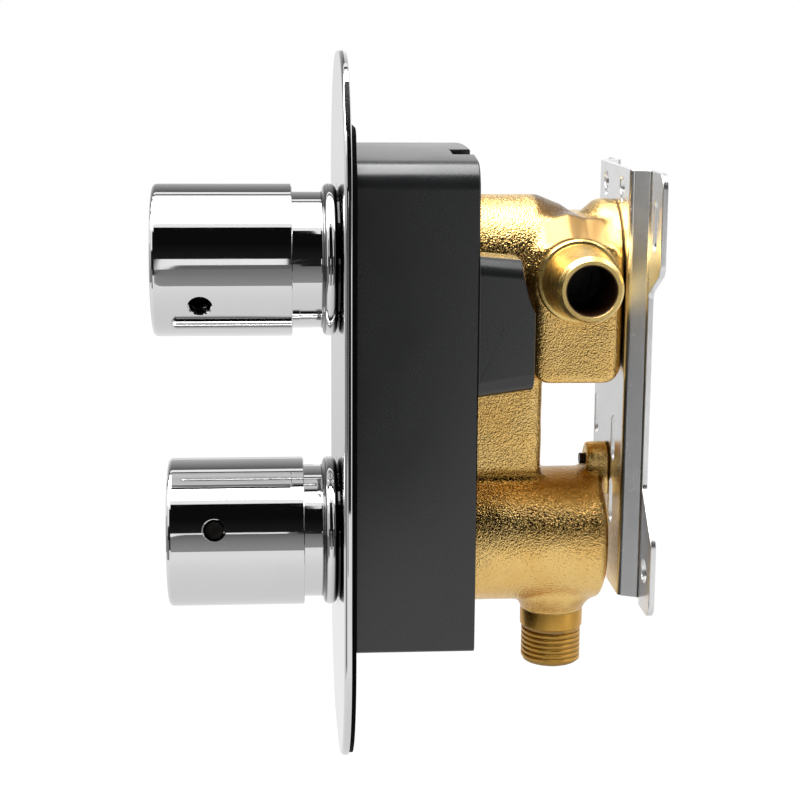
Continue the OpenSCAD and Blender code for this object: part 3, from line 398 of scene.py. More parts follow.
@dataclass(frozen=True)
class TurnedBrass:
    """Machined brass with fine tool rings about one axis."""

    name: str
    axis: Vector = Vector((1, 0, 0))
    centre: Vector = Vector((0, 0, 0))
    gold: Colour = srgb(250, 218, 140)
    tarnished: Colour = srgb(206, 160, 80)
    bore_shade: Colour = srgb(70, 42, 22)
    bore: float = 0.0
    roughness: float = 0.24
    rings_per_turn: float = 17.0

    def build(self) -> bpy.types.Material:
        """Makes the material, with rings across the axis, a slight tarnish and painted shade inside the bore.
        """
        tree = ShaderTree(self.name)
        x, y, z = tree.axes()
        along = x * self.axis.x + y * self.axis.y + z * self.axis.z
        radius = ((x - self.centre.x) ** 2 * (1 - abs(self.axis.x))
                  + (y - self.centre.y) ** 2 * (1 - abs(self.axis.y))
                  + (z - self.centre.z) ** 2 * (1 - abs(self.axis.z))).root()
        jitter = tree.noise(1.4, 2, 0.5) * 0.5
        rings = ((along + radius + jitter) * self.rings_per_turn).sine() * 0.5 + 0.5
        tarnish = tree.noise(5, 3, 0.6).ease(0.4, 0.75)
        base = tree.mix(tarnish * 0.25, self.gold, self.tarnished)
        # Painted shade: inside the bore the brass is darkened and made less metallic.
        bore_shade_mask = radius.ease(self.bore + 0.5, self.bore + 0.2)
        base = tree.mix(bore_shade_mask, base, self.bore_shade)
        rough = tarnish * 0.08 + rings * 0.05 + bore_shade_mask * 0.1 + self.roughness
        streaks = tree.noise(0.45, 2, 0.5, at=tree.stretched(tuple(1 + 11 * c for c in self.axis)))
        normal = tree.bump(rings * 0.4 + streaks * 0.6, 0.05)
        metal = 1 - bore_shade_mask * 0.6
        return tree.surface(Base_Color=base, Metallic=metal, Roughness=rough, Normal=normal)


@dataclass(frozen=True)
class MouldedPlastic:
    """Moulded plastic with a fine satin texture."""

    name: str
    colour: Colour
    roughness: float = 0.42
    texture: float = 0.03

    def build(self) -> bpy.types.Material:
        """Makes the material, with spark-eroded texture, flow marks and light dust."""
        tree = ShaderTree(self.name)
        skin = tree.noise(0.28, 2, 0.6)
        flow = tree.noise(26, 2, 0.5, 0.4)
        dust = tree.noise(0.5, 2, 0.7).ease(0.7, 0.85)
        base = tree.mix(flow * 0.5, self.colour, tuple(c * 1.35 for c in self.colour))
        base = tree.mix(dust * 0.12, base, (0.5, 0.5, 0.5))
        rough = flow * 0.12 + skin * 0.08 + (self.roughness - 0.1)
        normal = tree.bump(skin, self.texture)
        return tree.surface(Base_Color=base, Metallic=0.0, Roughness=rough, IOR=1.66, Normal=normal)


@dataclass(frozen=True)
class ZincPlate:
    """Bright zinc-plated steel sheet with rolling lines and handling marks."""

    name: str = "zinc_plate"
    colour: Colour = (0.88, 0.88, 0.88)

    def build(self) -> bpy.types.Material:
        """Makes the material."""
        tree = ShaderTree(self.name)
        rolled = tree.noise(0.5, 2, 0.5, at=tree.stretched((1, 1, 30)))
        cloud = tree.noise(11, 3, 0.6)
        marks = tree.noise(1.8, 4, 0.7, 1.2).ease(0.66, 0.72)
        base = tree.mix(cloud.ease(0.4, 0.75) * 0.3, self.colour, (0.70, 0.70, 0.69))
        base = tree.mix(marks * 0.25, base, (0.50, 0.49, 0.46))
        rough = cloud * 0.12 + rolled * 0.06 + marks * 0.1 + 0.16
        normal = tree.bump(rolled * 0.6 + cloud * 0.4, 0.03)
        return tree.surface(Base_Color=base, Metallic=1.0, Roughness=rough, Anisotropic=0.75,
                            Anisotropic_Rotation=0.25, Normal=normal)


@dataclass(frozen=True)
class PlainMetal:
    """Steel or copper alloy for fasteners, springs and inner pieces."""

    name: str
    colour: Colour
    roughness: float = 0.35
    pitch: float = 0.0

    def build(self) -> bpy.types.Material:
        """Makes the material, with specks, uneven plating and, for a screw, its thread along Y with painted
        shade in its grooves.
        """
        tree = ShaderTree(self.name)
        specks = tree.noise(0.6, 3, 0.6)
        dark = tuple(c * 0.55 for c in self.colour)
        base = tree.mix(specks.ease(0.45, 0.7) * 0.6, self.colour, dark)
        rough = specks * 0.2 + (self.roughness - 0.08)
        normal = tree.bump(specks, 0.02)
        if self.pitch:
            turns = tree.axes()[1] * (math.tau / self.pitch)
            ridges = turns.sine() * 0.5 + 0.5
            normal = tree.bump(ridges, 0.2, normal)
            # Painted shade: the thread's grooves are darkened.
            base = tree.mix(ridges.ease(0.6, 0.1) * 0.6, base, dark)
        return tree.surface(Base_Color=base, Metallic=1.0, Roughness=rough, Normal=normal)


@dataclass(frozen=True)
class SoftRubber:
    """Rubber or closed-cell foam."""

    name: str
    colour: Colour
    pore: float = 0.6
    depth: float = 0.05
    sheen: float = 0.4

    def build(self) -> bpy.types.Material:
        """Makes the material, with pores and a dusty bloom."""
        tree = ShaderTree(self.name)
        pores = tree.cells(self.pore)
        bloom = tree.noise(5, 3, 0.6).ease(0.5, 0.75)
        base = tree.mix(bloom * 0.35, self.colour, tuple(c * 2 + 0.002 for c in self.colour))
        return tree.surface(Base_Color=base, Metallic=0.0, Roughness=bloom * 0.1 + 0.6,
                            Specular_IOR_Level=self.sheen, Normal=tree.bump(pores, self.depth))


@dataclass(frozen=True)
class LappedCeramic:
    """Dense white ceramic, lapped to a mirror on its faces."""

    name: str = "lapped_ceramic"
    colour: Colour = srgb(238, 234, 224)

    def build(self) -> bpy.types.Material:
        """Makes the material, with faint grey lapping smears."""
        tree = ShaderTree(self.name)
        smear = tree.noise(3, 3, 0.6).ease(0.5, 0.8)
        base = tree.mix(smear * 0.3, self.colour, srgb(196, 196, 192))
        return tree.surface(Base_Color=base, Metallic=0.0, Roughness=smear * 0.15 + 0.12,
                            Normal=tree.bump(tree.noise(0.8, 2, 0.5), 0.004))


class Axis(Enum):
    """Axes that turned pieces share, as a direction and a point in millimetres."""

    INLETS = (Vector((1, 0, 0)), Vector((0, INLET_BACK, INLET_HEIGHT)))
    UPPER = (Vector((0, 1, 0)), Vector((0, 0, UPPER_AXIS)))
    LOWER = (Vector((0, 1, 0)), Vector((0, 0, LOWER_AXIS)))
    OUTLET = (Vector((0, 0, 1)), Vector((0, OUTLET_BACK, 0)))


@dataclass
class Finishes:
    """Every finish of the valve, built once and handed to the sub-assemblies."""

    chrome: bpy.types.Material = field(init=False)
    casting: bpy.types.Material = field(init=False)
    inlet_brass: bpy.types.Material = field(init=False)
    upper_brass: bpy.types.Material = field(init=False)
    lower_brass: bpy.types.Material = field(init=False)
    outlet_brass: bpy.types.Material = field(init=False)
    housing: bpy.types.Material = field(init=False)
    cartridge: bpy.types.Material = field(init=False)
    ivory: bpy.types.Material = field(init=False)
    zinc: bpy.types.Material = field(init=False)
    dark_steel: bpy.types.Material = field(init=False)
    screw: bpy.types.Material = field(init=False)
    check_plastic: bpy.types.Material = field(init=False)
    wire: bpy.types.Material = field(init=False)
    copper: bpy.types.Material = field(init=False)
    rubber: bpy.types.Material = field(init=False)
    foam: bpy.types.Material = field(init=False)
    ceramic: bpy.types.Material = field(init=False)

    def __post_init__(self) -> None:
        """Builds the materials."""
        self.chrome = PolishedChrome().build()
        self.casting = CastBrass().build()
        self.inlet_brass = TurnedBrass("inlet_brass", *Axis.INLETS.value, bore=8.0).build()
        self.upper_brass = TurnedBrass("upper_brass", *Axis.UPPER.value).build()
        self.lower_brass = TurnedBrass("lower_brass", *Axis.LOWER.value).build()
        self.outlet_brass = TurnedBrass("outlet_brass", *Axis.OUTLET.value, srgb(218, 168, 80),
                                        roughness=0.30).build()
        self.housing = MouldedPlastic("housing_plastic", srgb(24, 25, 26), 0.26, 0.003).build()
        self.cartridge = MouldedPlastic("cartridge_plastic", srgb(96, 99, 104), 0.45).build()
        self.ivory = MouldedPlastic("ivory_plastic", srgb(226, 222, 208), 0.4, 0.015).build()
        self.zinc = ZincPlate().build()
        self.dark_steel = PlainMetal("dark_steel", srgb(92, 90, 86), 0.34).build()
        self.screw = PlainMetal("dark_screw", srgb(84, 74, 58), 0.3, 0.7).build()
        self.check_plastic = MouldedPlastic("check_valve_plastic", srgb(34, 26, 22), 0.5).build()
        self.wire = PlainMetal("spring_wire", srgb(176, 176, 178), 0.3).build()
        self.copper = PlainMetal("wax_copper", srgb(196, 120, 70), 0.3).build()
        self.rubber = SoftRubber("seal_rubber", (0.012, 0.012, 0.013)).build()
        self.foam = SoftRubber("foam_seal", (0.002, 0.002, 0.002), 0.45, 0.16, 0.03).build()
        self.ceramic = LappedCeramic().build()


# Geometry helpers


def dress(node: str, material: bpy.types.Material) -> None:
    """Gives a CAD node its finish.

    Args:
        node: the node's name.
        material: its finish.
    """
    slots = frame["nodes"][node].data.materials
    if slots:
        for i in range(len(slots)):
            slots[i] = material
    else:
        slots.append(material)
    LOG.info("%s wears %s", node, material.name)


def placed(name: str, form: bmesh.types.BMesh, finish: bpy.types.Material, node: str) -> bpy.types.Object:
    """Turns a form into the shown piece of a CAD node, which moves as that node does and hides it.

    Args:
        name: the piece's name.
        form: its shape, which is used up.
        finish: its material.
        node: the CAD node it stands for.

    Returns:
        The piece.
    """
    mesh = bpy.data.meshes.new(name)
    bmesh.ops.recalc_face_normals(form, faces=form.faces)
    form.to_mesh(mesh)
    form.free()
    mesh.materials.append(finish)
    mesh.shade_smooth()
    piece = bpy.data.objects.new(name, mesh)
    bpy.context.scene.collection.objects.link(piece)
    source = frame["nodes"][node]
    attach(piece, source["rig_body"])
    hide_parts(node)
    LOG.info("%s stands for %s: %d faces", name, node, len(mesh.polygons))
    return piece


def lathed(profile: Sequence[tuple[float, float]], place: Callable[[float, float, float], Vector],
           around: int) -> bmesh.types.BMesh:
    """Turns a closed section round an axis.

    Args:
        profile: the section as radius and distance along the axis, in millimetres.
        place: gives the point for two offsets from the axis and a distance along it.
        around: points round the axis.

    Returns:
        The turned form, in metres.
    """
    form = bmesh.new()
    turns = [math.tau * i / around for i in range(around)]
    rings = [[form.verts.new(place(r * math.cos(a), r * math.sin(a), s) * MM) for a in turns]
             for r, s in profile]
    for one, other in zip(rings, rings[1:] + rings[:1]):
        for i in range(around):
            form.faces.new((one[i - 1], one[i], other[i], other[i - 1]))
    return form


def merged(node: str) -> bmesh.types.BMesh:
    """A copy of a CAD node's shape with its loose triangles joined."""
    form = bmesh.new()
    form.from_mesh(frame["nodes"][node].data)
    bmesh.ops.remove_doubles(form, verts=form.verts, dist=0.001 * MM)
    return form


def softened(node: str, finish: bpy.types.Material, width: float, steps: int = 2,
             ease: Callable[[Vector], Vector] | None = None) -> bpy.types.Object:
    """The shown piece of a CAD node, with its sharp edges rounded as moulds and presses leave them.

    Args:
        node: the CAD node.
        finish: its material.
        width: width of the rounding in millimetres.
        steps: facets of the rounding.
        ease: moves each point first, in millimetres.

    Returns:
        The piece.
    """
    form = merged(node)
    for vert in form.verts:
        if ease:
            vert.co = ease(vert.co / MM) * MM
    bmesh.ops.dissolve_limit(form, angle_limit=math.radians(0.6), verts=form.verts, edges=form.edges)
    sharp = [e for e in form.edges if len(e.link_faces) == 2 and e.calc_face_angle(0) > math.radians(38)]
    bmesh.ops.bevel(form, geom=sharp, offset=width * MM, offset_type="OFFSET", segments=steps,
                    profile=0.5, affect="EDGES", clamp_overlap=False)
    piece = placed(f"{node}_soft", form, finish, node)
    piece.data.set_sharp_from_angle(angle=math.radians(25))
    shading = piece.modifiers.new("even_shading", "WEIGHTED_NORMAL")
    shading.keep_sharp = True
    return piece


class GeometryTree:
    """A geometry node tree under construction, whose sizes are named inputs."""

    def __init__(self, name: str, sizes: Sequence[str]) -> None:
        """Starts a tree with a geometry output, a number input for each size and a material input."""
        self.group = bpy.data.node_groups.new(name, "GeometryNodeTree")
        face = self.group.interface
        face.new_socket("Geometry", in_out="OUTPUT", socket_type="NodeSocketGeometry")
        self.ids = {size: face.new_socket(size, in_out="INPUT", socket_type="NodeSocketFloat").identifier
                    for size in sizes}
        self.material_id = face.new_socket("Finish", in_out="INPUT",
                                           socket_type="NodeSocketMaterial").identifier
        self.inputs = self.group.nodes.new("NodeGroupInput")

    def add(self, kind: str, settings: Mapping[str, object] | None = None,
            inputs: Mapping[int | str, object] | None = None) -> bpy.types.Node:
        """Adds any node.

        Args:
            kind: the node's type.
            settings: properties, set first.
            inputs: a value or an output socket for each input, by index or name.

        Returns:
            The node.
        """
        node = self.group.nodes.new(kind)
        for name, setting in (settings or {}).items():
            setattr(node, name, setting)
        for key, given in (inputs or {}).items():
            if isinstance(given, bpy.types.NodeSocket):
                self.group.links.new(given, node.inputs[key])
            else:
                node.inputs[key].default_value = given
        return node

    def size(self, name: str) -> bpy.types.NodeSocket:
        """The group input of one size."""
        return self.inputs.outputs[name]

    def math(self, operation: str, *operands: object) -> bpy.types.NodeSocket:
        """The result of one Math node."""
        return self.add("ShaderNodeMath", {"operation": operation}, dict(enumerate(operands))).outputs[0]

    def finish(self, geometry: bpy.types.NodeSocket) -> None:
        """Ends the tree in real, dressed geometry."""
        real = self.add("GeometryNodeRealizeInstances", None, {"Geometry": geometry})
        dressed = self.add("GeometryNodeSetMaterial", None,
                           {"Geometry": real.outputs[0], "Material": self.inputs.outputs["Finish"]})
        out = self.group.nodes.new("NodeGroupOutput")
        self.group.links.new(dressed.outputs[0], out.inputs[0])

    def grow(self, name: str, sizes: Mapping[str, float], finish: bpy.types.Material,
             turn: Matrix) -> bpy.types.Object:
        """Runs the tree and keeps its result as a plain mesh.

        Args:
            name: the piece's name.
            sizes: a number for each named input.
            finish: its material.
            turn: where the piece goes, from the tree's own axes to the row frame.

        Returns:
            The piece, with its place in its mesh.
        """
        seed = bpy.data.objects.new(f"{name}_seed", bpy.data.meshes.new(f"{name}_seed"))
        bpy.context.scene.collection.objects.link(seed)
        modifier = seed.modifiers.new("grow", "NODES")
        modifier.node_group = self.group
        for size, number in sizes.items():
            modifier[self.ids[size]] = number
        modifier[self.material_id] = finish
        bpy.context.view_layer.update()
        grown = seed.evaluated_get(bpy.context.evaluated_depsgraph_get())
        mesh = bpy.data.meshes.new_from_object(grown)
        seed.modifiers.remove(modifier)
        bpy.data.objects.remove(seed)
        mesh.name = name
        mesh.transform(turn)
        piece = bpy.data.objects.new(name, mesh)
        bpy.context.scene.collection.objects.link(piece)
        LOG.info("%s grown: %d faces", name, len(mesh.polygons))
        return piece


def helical_thread() -> GeometryTree:
    """A tree that sweeps a thread's ridge along a helix about Z, rising from Z = 0.

    Returns:
        The tree, with sizes Root, Height, Pitch, Length, Base and Crest.
    """
    tree = GeometryTree("helical_thread", ("Root", "Height", "Pitch", "Length", "Base", "Crest"))
    turns = tree.math("DIVIDE", tree.size("Length"), tree.size("Pitch"))
    helix = tree.add("GeometryNodeCurveSpiral", None,
                     {"Resolution": 72, "Rotations": turns, "Start Radius": tree.size("Root"),
                      "End Radius": tree.size("Root"), "Height": tree.size("Length")})
    upright = tree.add("GeometryNodeSetCurveNormal", {"mode": "Z_UP"}, {0: helix.outputs[0]})
    ridge = tree.add("GeometryNodeCurvePrimitiveQuadrilateral", {"mode": "TRAPEZOID"},
                     {"Bottom Width": tree.size("Base"), "Top Width": tree.size("Crest"),
                      "Offset": 0.0, "Height": tree.size("Height")})
    stand = tree.add("GeometryNodeTransform", None,
                     {"Geometry": ridge.outputs[0], "Rotation": (0.0, 0.0, -math.pi / 2)})
    swept = tree.add("GeometryNodeCurveToMesh", None,
                     {"Curve": upright.outputs[0], "Profile Curve": stand.outputs[0], "Fill Caps": True})
    tree.finish(swept.outputs[0])
    return tree


# Sub-assemblies


@dataclass
class Casting:
    """The sand-cast body: fillets in its corners, soft edges and slightly uneven walls."""

    voxel: float = 0.95
    passes: int = 9
    unevenness: float = 0.16
    notch: float = 1.5
    notch_reach: float = 6.0
    notch_foot: float = 108.0
    swell: float = 9.0

    def build(self, finishes: Finishes) -> None:
        """Remeshes the CAD body evenly, then rounds and roughens what the mould formed.

        Args:
            finishes: the valve's finishes.
        """
        form = self._even_mesh()
        cast = [v for v in form.verts if self._is_cast(v.co / MM)]
        valley = {v for v in cast if self._off_valley(v) < self.notch_reach
                  and v.co.z / MM > self.notch_foot}
        rest = [v for v in cast if v not in valley]
        for turn in range(self.passes):
            bmesh.ops.smooth_vert(form, verts=cast if turn < 2 else rest, factor=0.5, use_axis_x=True,
                                  use_axis_y=True, use_axis_z=True)
        for vert in valley:
            vert.co.z -= self.notch * (1 - self._off_valley(vert) / self.notch_reach) * MM
        form.normal_update()
        for vert in cast:
            swell = noise.noise(vert.co / (self.swell * MM)) * self.unevenness
            vert.co += vert.normal * swell * MM
        placed("cast_body", form, finishes.casting, "valve_body")

    def _off_valley(self, vert: bmesh.types.BMVert) -> float:
        """How far a point lies from the valley between upper barrel and rear boss, in millimetres."""
        return abs(vert.co.y / MM - VALLEY_BACK)

    def _even_mesh(self) -> bmesh.types.BMesh:
        """The body's shape in small even faces."""
        solid = merged("valve_body")
        mesh = bpy.data.meshes.new("casting_seed")
        solid.to_mesh(mesh)
        solid.free()
        seed = bpy.data.objects.new("casting_seed", mesh)
        bpy.context.scene.collection.objects.link(seed)
        remesh = seed.modifiers.new("even", "REMESH")
        remesh.mode, remesh.voxel_size = "VOXEL", self.voxel * MM
        bpy.context.view_layer.update()
        even = bpy.data.meshes.new_from_object(seed.evaluated_get(bpy.context.evaluated_depsgraph_get()))
        bpy.data.objects.remove(seed)
        form = bmesh.new()
        form.from_mesh(even)
        bpy.data.meshes.remove(even)
        return form

    def _is_cast(self, at: Vector) -> bool:
        """Whether the mould formed this point, in millimetres, rather than a tool."""
        depth = at.y - PLATE_FRONT
        from_upper = math.hypot(at.x, at.z - UPPER_AXIS)
        from_lower = math.hypot(at.x, at.z - LOWER_AXIS)
        from_inlet = math.hypot(at.y - INLET_BACK, at.z - INLET_HEIGHT)
        from_outlet = math.hypot(at.x, at.y - OUTLET_BACK)
        from_column = math.hypot(at.x, depth - 42)
        faced = depth < 14.6 or at.y > -8.9 or at.z < -23.2
        barrels = from_upper < (18 if depth < 63 else 9.5) or from_lower < (18 if depth < 62 else 9.5)
        inlets = from_inlet < 11.4 and abs(at.x) > 6 or from_inlet < 14.6 and abs(at.x) > 24.4
        passages = from_outlet < 8 and at.z < 8 or from_column < 8.4
        return not (faced or barrels or inlets or passages)


@dataclass
class Outlet:
    """The outlet's turned end: plain collar and pipe thread."""

    top: float = -23.4
    foot: float = -30.1
    start: float = -30.4
    end: float = -42.1
    collar: float = 11.03
    bore: float = 7.6
    around: int = 96
    root: float = 9.9
    crest: float = 10.46
    pitch: float = 1.814

    def build(self, finishes: Finishes) -> None:
        """Turns the collar, then sweeps the thread's ridge up from the outlet's end.

        Args:
            finishes: the valve's finishes.
        """
        self._collar(finishes)
        sizes = {"Root": (self.root + self.crest) / 2 * MM, "Height": (self.crest - self.root) * MM,
                 "Pitch": self.pitch * MM, "Length": (self.start - self.end) * MM,
                 "Base": 1.6 * MM, "Crest": 0.4 * MM}
        place = Matrix.Translation((0, OUTLET_BACK * MM, self.end * MM))
        turned = place @ Matrix.Rotation(math.pi, 4, "Z")
        piece = helical_thread().grow("outlet_thread", sizes, finishes.outlet_brass, turned)
        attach(piece, VALVE)

    def _collar(self, finishes: Finishes) -> None:
        """Turns the plain collar over the casting, with a fine undercut at its top."""
        profile = ((self.bore, self.top + 0.3), (self.collar - 0.5, self.top + 0.3),
                   (self.collar - 0.1, self.top), (self.collar, self.top - 0.3),
                   (self.collar - 0.05, self.foot + 0.5), (self.collar - 0.5, self.foot),
                   (self.bore, self.foot))
        form = lathed(profile, lambda x, y, z: Vector((x, y + OUTLET_BACK, z)), self.around)
        bmesh.ops.recalc_face_normals(form, faces=form.faces)
        mesh = bpy.data.meshes.new("outlet_collar")
        form.to_mesh(mesh)
        form.free()
        mesh.materials.append(finishes.outlet_brass)
        mesh.shade_smooth()
        mesh.set_sharp_from_angle(angle=math.radians(35))
        piece = bpy.data.objects.new("outlet_collar", mesh)
        bpy.context.scene.collection.objects.link(piece)
        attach(piece, VALVE)
        LOG.info("outlet_collar turned: %d faces", len(mesh.polygons))


@dataclass
class FacePlate:
    """The chromed plate, whose front edge is fully rounded and whose rear edge is only eased."""

    width: float = 116.0
    height: float = 240.6
    corner: float = 47.0
    rise: float = 50.2
    thick: float = 2.6
    nose: float = 1.35
    heel: float = 0.4
    hole: float = 22.4
    axes: tuple[float, float] = (UPPER_AXIS, LOWER_AXIS)
    corner_steps: int = 40
    hole_steps: int = 72

    def build(self, finishes: Finishes) -> None:
        """Sweeps the edge's profile round the outline, then closes front and rear round the two holes.

        Args:
            finishes: the valve's finishes.
        """
        form = bmesh.new()
        rings = [self._ring(form, inset, back) for inset, back in self._profile()]
        for one, other in zip(rings, rings[1:]):
            self._band(form, one, other)
        circles = [[self._circle(form, z, back) for z in self.axes] for back in (0.0, self.thick)]
        for front, rear in zip(*circles):
            self._band(form, front, rear)
        for outline, holes in ((rings[0], circles[0]), (rings[-1], circles[1])):
            loops = [outline, *holes]
            edges = [form.edges.get((loop[i - 1], loop[i])) for loop in loops for i in range(len(loop))]
            bmesh.ops.triangle_fill(form, use_beauty=True, edges=edges)
        plate = placed("rounded_plate", form, finishes.chrome, "face_plate")
        rim = [edge for edge in plate.data.edges if self._ends_curve(plate.data, edge)]
        for edge in rim:
            edge.use_edge_sharp = True

    def _profile(self) -> list[tuple[float, float]]:
        """The edge from the front face round to the rear face, as inset and distance back."""
        turns = [math.pi / 2 * i / 10 for i in range(11)]
        flat = [(0.0, self.nose + 0.05), (0.0, self.thick - self.heel - 0.05)]
        return ([(self.nose * (1 - math.sin(a)), self.nose * (1 - math.cos(a))) for a in turns] + flat
                + [(self.heel * (1 - math.cos(a)), self.thick - self.heel * (1 - math.sin(a)))
                   for a in turns[::2]])

    def _ring(self, form: bmesh.types.BMesh, inset: float, back: float) -> list[bmesh.types.BMVert]:
        """The plate's outline, shrunk by an inset, at a distance behind the front."""
        radius = self.corner - inset
        ring = []
        for quarter, (side, end) in enumerate(((1, 1), (-1, 1), (-1, -1), (1, -1))):
            for step in range(self.corner_steps + 1):
                turn = math.pi / 2 * (quarter + step / self.corner_steps)
                x = side * (self.width / 2 - self.corner) + radius * math.cos(turn)
                z = end * (self.height / 2 - self.corner) + radius * math.sin(turn)
                ring.append(form.verts.new(Vector((x, back + PLATE_FRONT, self.rise + z)) * MM))
        return ring

    def _ends_curve(self, mesh: bpy.types.Mesh, edge: bpy.types.MeshEdge) -> bool:
        """Whether an edge bounds the flat front or rear face."""
        spots = [mesh.vertices[i].co.y / MM - PLATE_FRONT for i in edge.vertices]
        return any(all(abs(s - face) < 0.001 for s in spots) for face in (0.0, self.thick))

    def _circle(self, form: bmesh.types.BMesh, z: float, back: float) -> list[bmesh.types.BMVert]:
        """One end of a sleeve's hole."""
        turns = [math.tau * i / self.hole_steps for i in range(self.hole_steps)]
        spots = [(self.hole * math.cos(a), back + PLATE_FRONT, z + self.hole * math.sin(a)) for a in turns]
        return [form.verts.new(Vector(spot) * MM) for spot in spots]

    def _band(self, form: bmesh.types.BMesh, one: Sequence[bmesh.types.BMVert],
              other: Sequence[bmesh.types.BMVert]) -> None:
        """Joins two loops of points by a band of faces."""
        for i in range(len(one)):
            form.faces.new((one[i - 1], one[i], other[i], other[i - 1]))


@dataclass
class Sleeves:
    """The two chromed sleeves: plain neck, small fillet, one full bead and an undercut at the plate."""

    neck: float = 23.0
    fillet: float = 0.75
    fillet_front: float = 5.75
    bead: float = 25.8
    bead_round: float = 2.1
    bead_tail: float = 2.6
    bead_back: float = 2.93
    undercut: float = 23.6
    around: int = 144

    def build(self, finishes: Finishes) -> None:
        """Turns both sleeves, each with the length and bore that its CAD node has.

        Args:
            finishes: the valve's finishes.
        """
        for node, axis in (("temperature_sleeve", Axis.UPPER), ("flow_sleeve", Axis.LOWER)):
            height = axis.value[1].z
            spots = [v.co / MM for v in frame["nodes"][node].data.vertices]
            turned = [(math.hypot(at.x, at.z - height), at.y - PLATE_FRONT) for at in spots]
            front, rear = min(s for _, s in turned), max(s for _, s in turned)
            bore = min(r for r, _ in turned)
            tail = max(r for r, s in turned if s > 0.5)
            form = lathed(self._profile(front, rear, bore, tail),
                          lambda x, z, s, up=height: Vector((x, s + PLATE_FRONT, up + z)), self.around)
            piece = placed(f"{node}_turned", form, finishes.chrome, node)
            piece.data.set_sharp_from_angle(angle=math.radians(32))

    def _profile(self, front: float, rear: float, bore: float, tail: float) -> list[tuple[float, float]]:
        """The turned section as radius and distance behind the plate's front."""
        centre = self.bead - self.bead_round
        start = self.neck, -self.fillet_front - 0.3
        fillet = [(self.neck + self.fillet * (1 - math.cos(a)), self.fillet * math.sin(a) - self.fillet_front)
                  for a in (math.radians(75) * i / 6 for i in range(7))]
        bead = [(centre + self.bead_round * math.cos(a),
                 (self.bead_round if a < 0 else self.bead_tail) * math.sin(a) - self.bead_back)
                for a in (math.radians(-78 + 164 * i / 30) for i in range(31))]
        return [(bore, front), (self.neck - 0.5, front), (self.neck, front + 0.5), start, *fillet, *bead,
                (self.undercut, -0.3), (self.undercut, 0.0), (tail, 0.0), (tail, rear), (bore, rear)]


@dataclass
class SoftPieces:
    """Moulded and pressed pieces whose edges are slightly round."""

    mould_edge: float = 0.45
    sheet_edge: float = 0.28
    corner: tuple[float, float, float] = (46.0, 130.69, 6.0)
    soft_corner: tuple[float, float, float] = (43.0, 127.98, 9.0)
    end_turn: float = 83.3

    def build(self, finishes: Finishes) -> None:
        """Rounds the guard housing's and the bracket's edges.

        Args:
            finishes: the valve's finishes.
        """
        softened("guard_housing", finishes.housing, self.mould_edge, ease=self._ease_corner)
        softened("wall_bracket", finishes.zinc, self.sheet_edge)

    def _ease_corner(self, at: Vector) -> Vector:
        """Moves a point of the housing's rounded top corners on to their larger, softer arc."""
        old = Vector((abs(at.x) - self.corner[0], at.z - self.corner[1]))
        if old.x < -0.01 or old.y < -0.01 or abs(old.length - self.corner[2]) > 0.06:
            return at
        turn = math.atan2(old.y, old.x) * self.end_turn / 90
        x = self.soft_corner[0] + self.soft_corner[2] * math.cos(turn)
        z = self.soft_corner[1] + self.soft_corner[2] * math.sin(turn)
        return Vector((math.copysign(x, at.x), at.y, z))


@dataclass
class PlainNodes:
    """CAD nodes whose shape is right as packed, with their finishes."""

    def build(self, finishes: Finishes) -> None:
        """Dresses each node.

        Args:
            finishes: the valve's finishes.
        """
        wear = {
            finishes.chrome: ("temperature_knob", "flow_knob"),
            finishes.inlet_brass: ("hot_inlet", "cold_inlet"),
            finishes.upper_brass: ("thermostat_nut", "thermostat_spindle"),
            finishes.lower_brass: ("flow_nut", "flow_spindle"),
            finishes.cartridge: ("thermostat_housing", "thermostat_slider", "thermostat_piston",
                                 "flow_housing"),
            finishes.ivory: ("temperature_stop_ring", "temperature_adapter", "flow_adapter"),
            finishes.check_plastic: ("hot_check_body", "cold_check_body", "hot_poppet", "cold_poppet"),
            finishes.dark_steel: ("bracket_screws", "temperature_grub_screw", "flow_grub_screw"),
            finishes.screw: ("lug_screw",),
            finishes.wire: ("return_spring", "hot_check_spring", "cold_check_spring"),
            finishes.copper: ("wax_element",),
            finishes.rubber: ("temperature_sleeve_ring", "flow_sleeve_ring", "thermostat_seals",
                              "flow_seals", "seat_seal"),
            finishes.foam: ("plate_gasket",),
            finishes.ceramic: ("moving_disc", "fixed_disc"),
        }
        for material, nodes in wear.items():
            for node in nodes:
                dress(node, material)


# Camera and studio


@dataclass
class PhotoCamera:
    """The camera, where the photographer's stood."""

    place: Vector = field(default_factory=lambda: Vector((0.6036, -0.1263, 0.1724)))
    yaw: float = 0.0746
    pitch: float = 0.1970
    roll: float = -0.0060
    lens: float = 80.16

    def build(self) -> None:
        """Makes the camera and hands it to the scene."""
        right = Vector((math.sin(self.yaw), math.cos(self.yaw), 0))
        level = Vector((-math.cos(self.yaw), math.sin(self.yaw), 0))
        ahead = level * math.cos(self.pitch) + Vector((0, 0, -math.sin(self.pitch)))
        up = right.cross(ahead)
        right, up = (right * math.cos(self.roll) - up * math.sin(self.roll),
                     up * math.cos(self.roll) + right * math.sin(self.roll))
        turn = Matrix((right, up, -ahead)).transposed().to_4x4()
        data = bpy.data.cameras.new("photo_camera")
        data.lens, data.sensor_width = self.lens, 36.0
        data.clip_start, data.clip_end = 0.01, 50.0
        camera = bpy.data.objects.new("photo_camera", data)
        camera.matrix_world = Matrix.Translation(self.place) @ turn
        bpy.context.scene.collection.objects.link(camera)
        bpy.context.scene.camera = camera


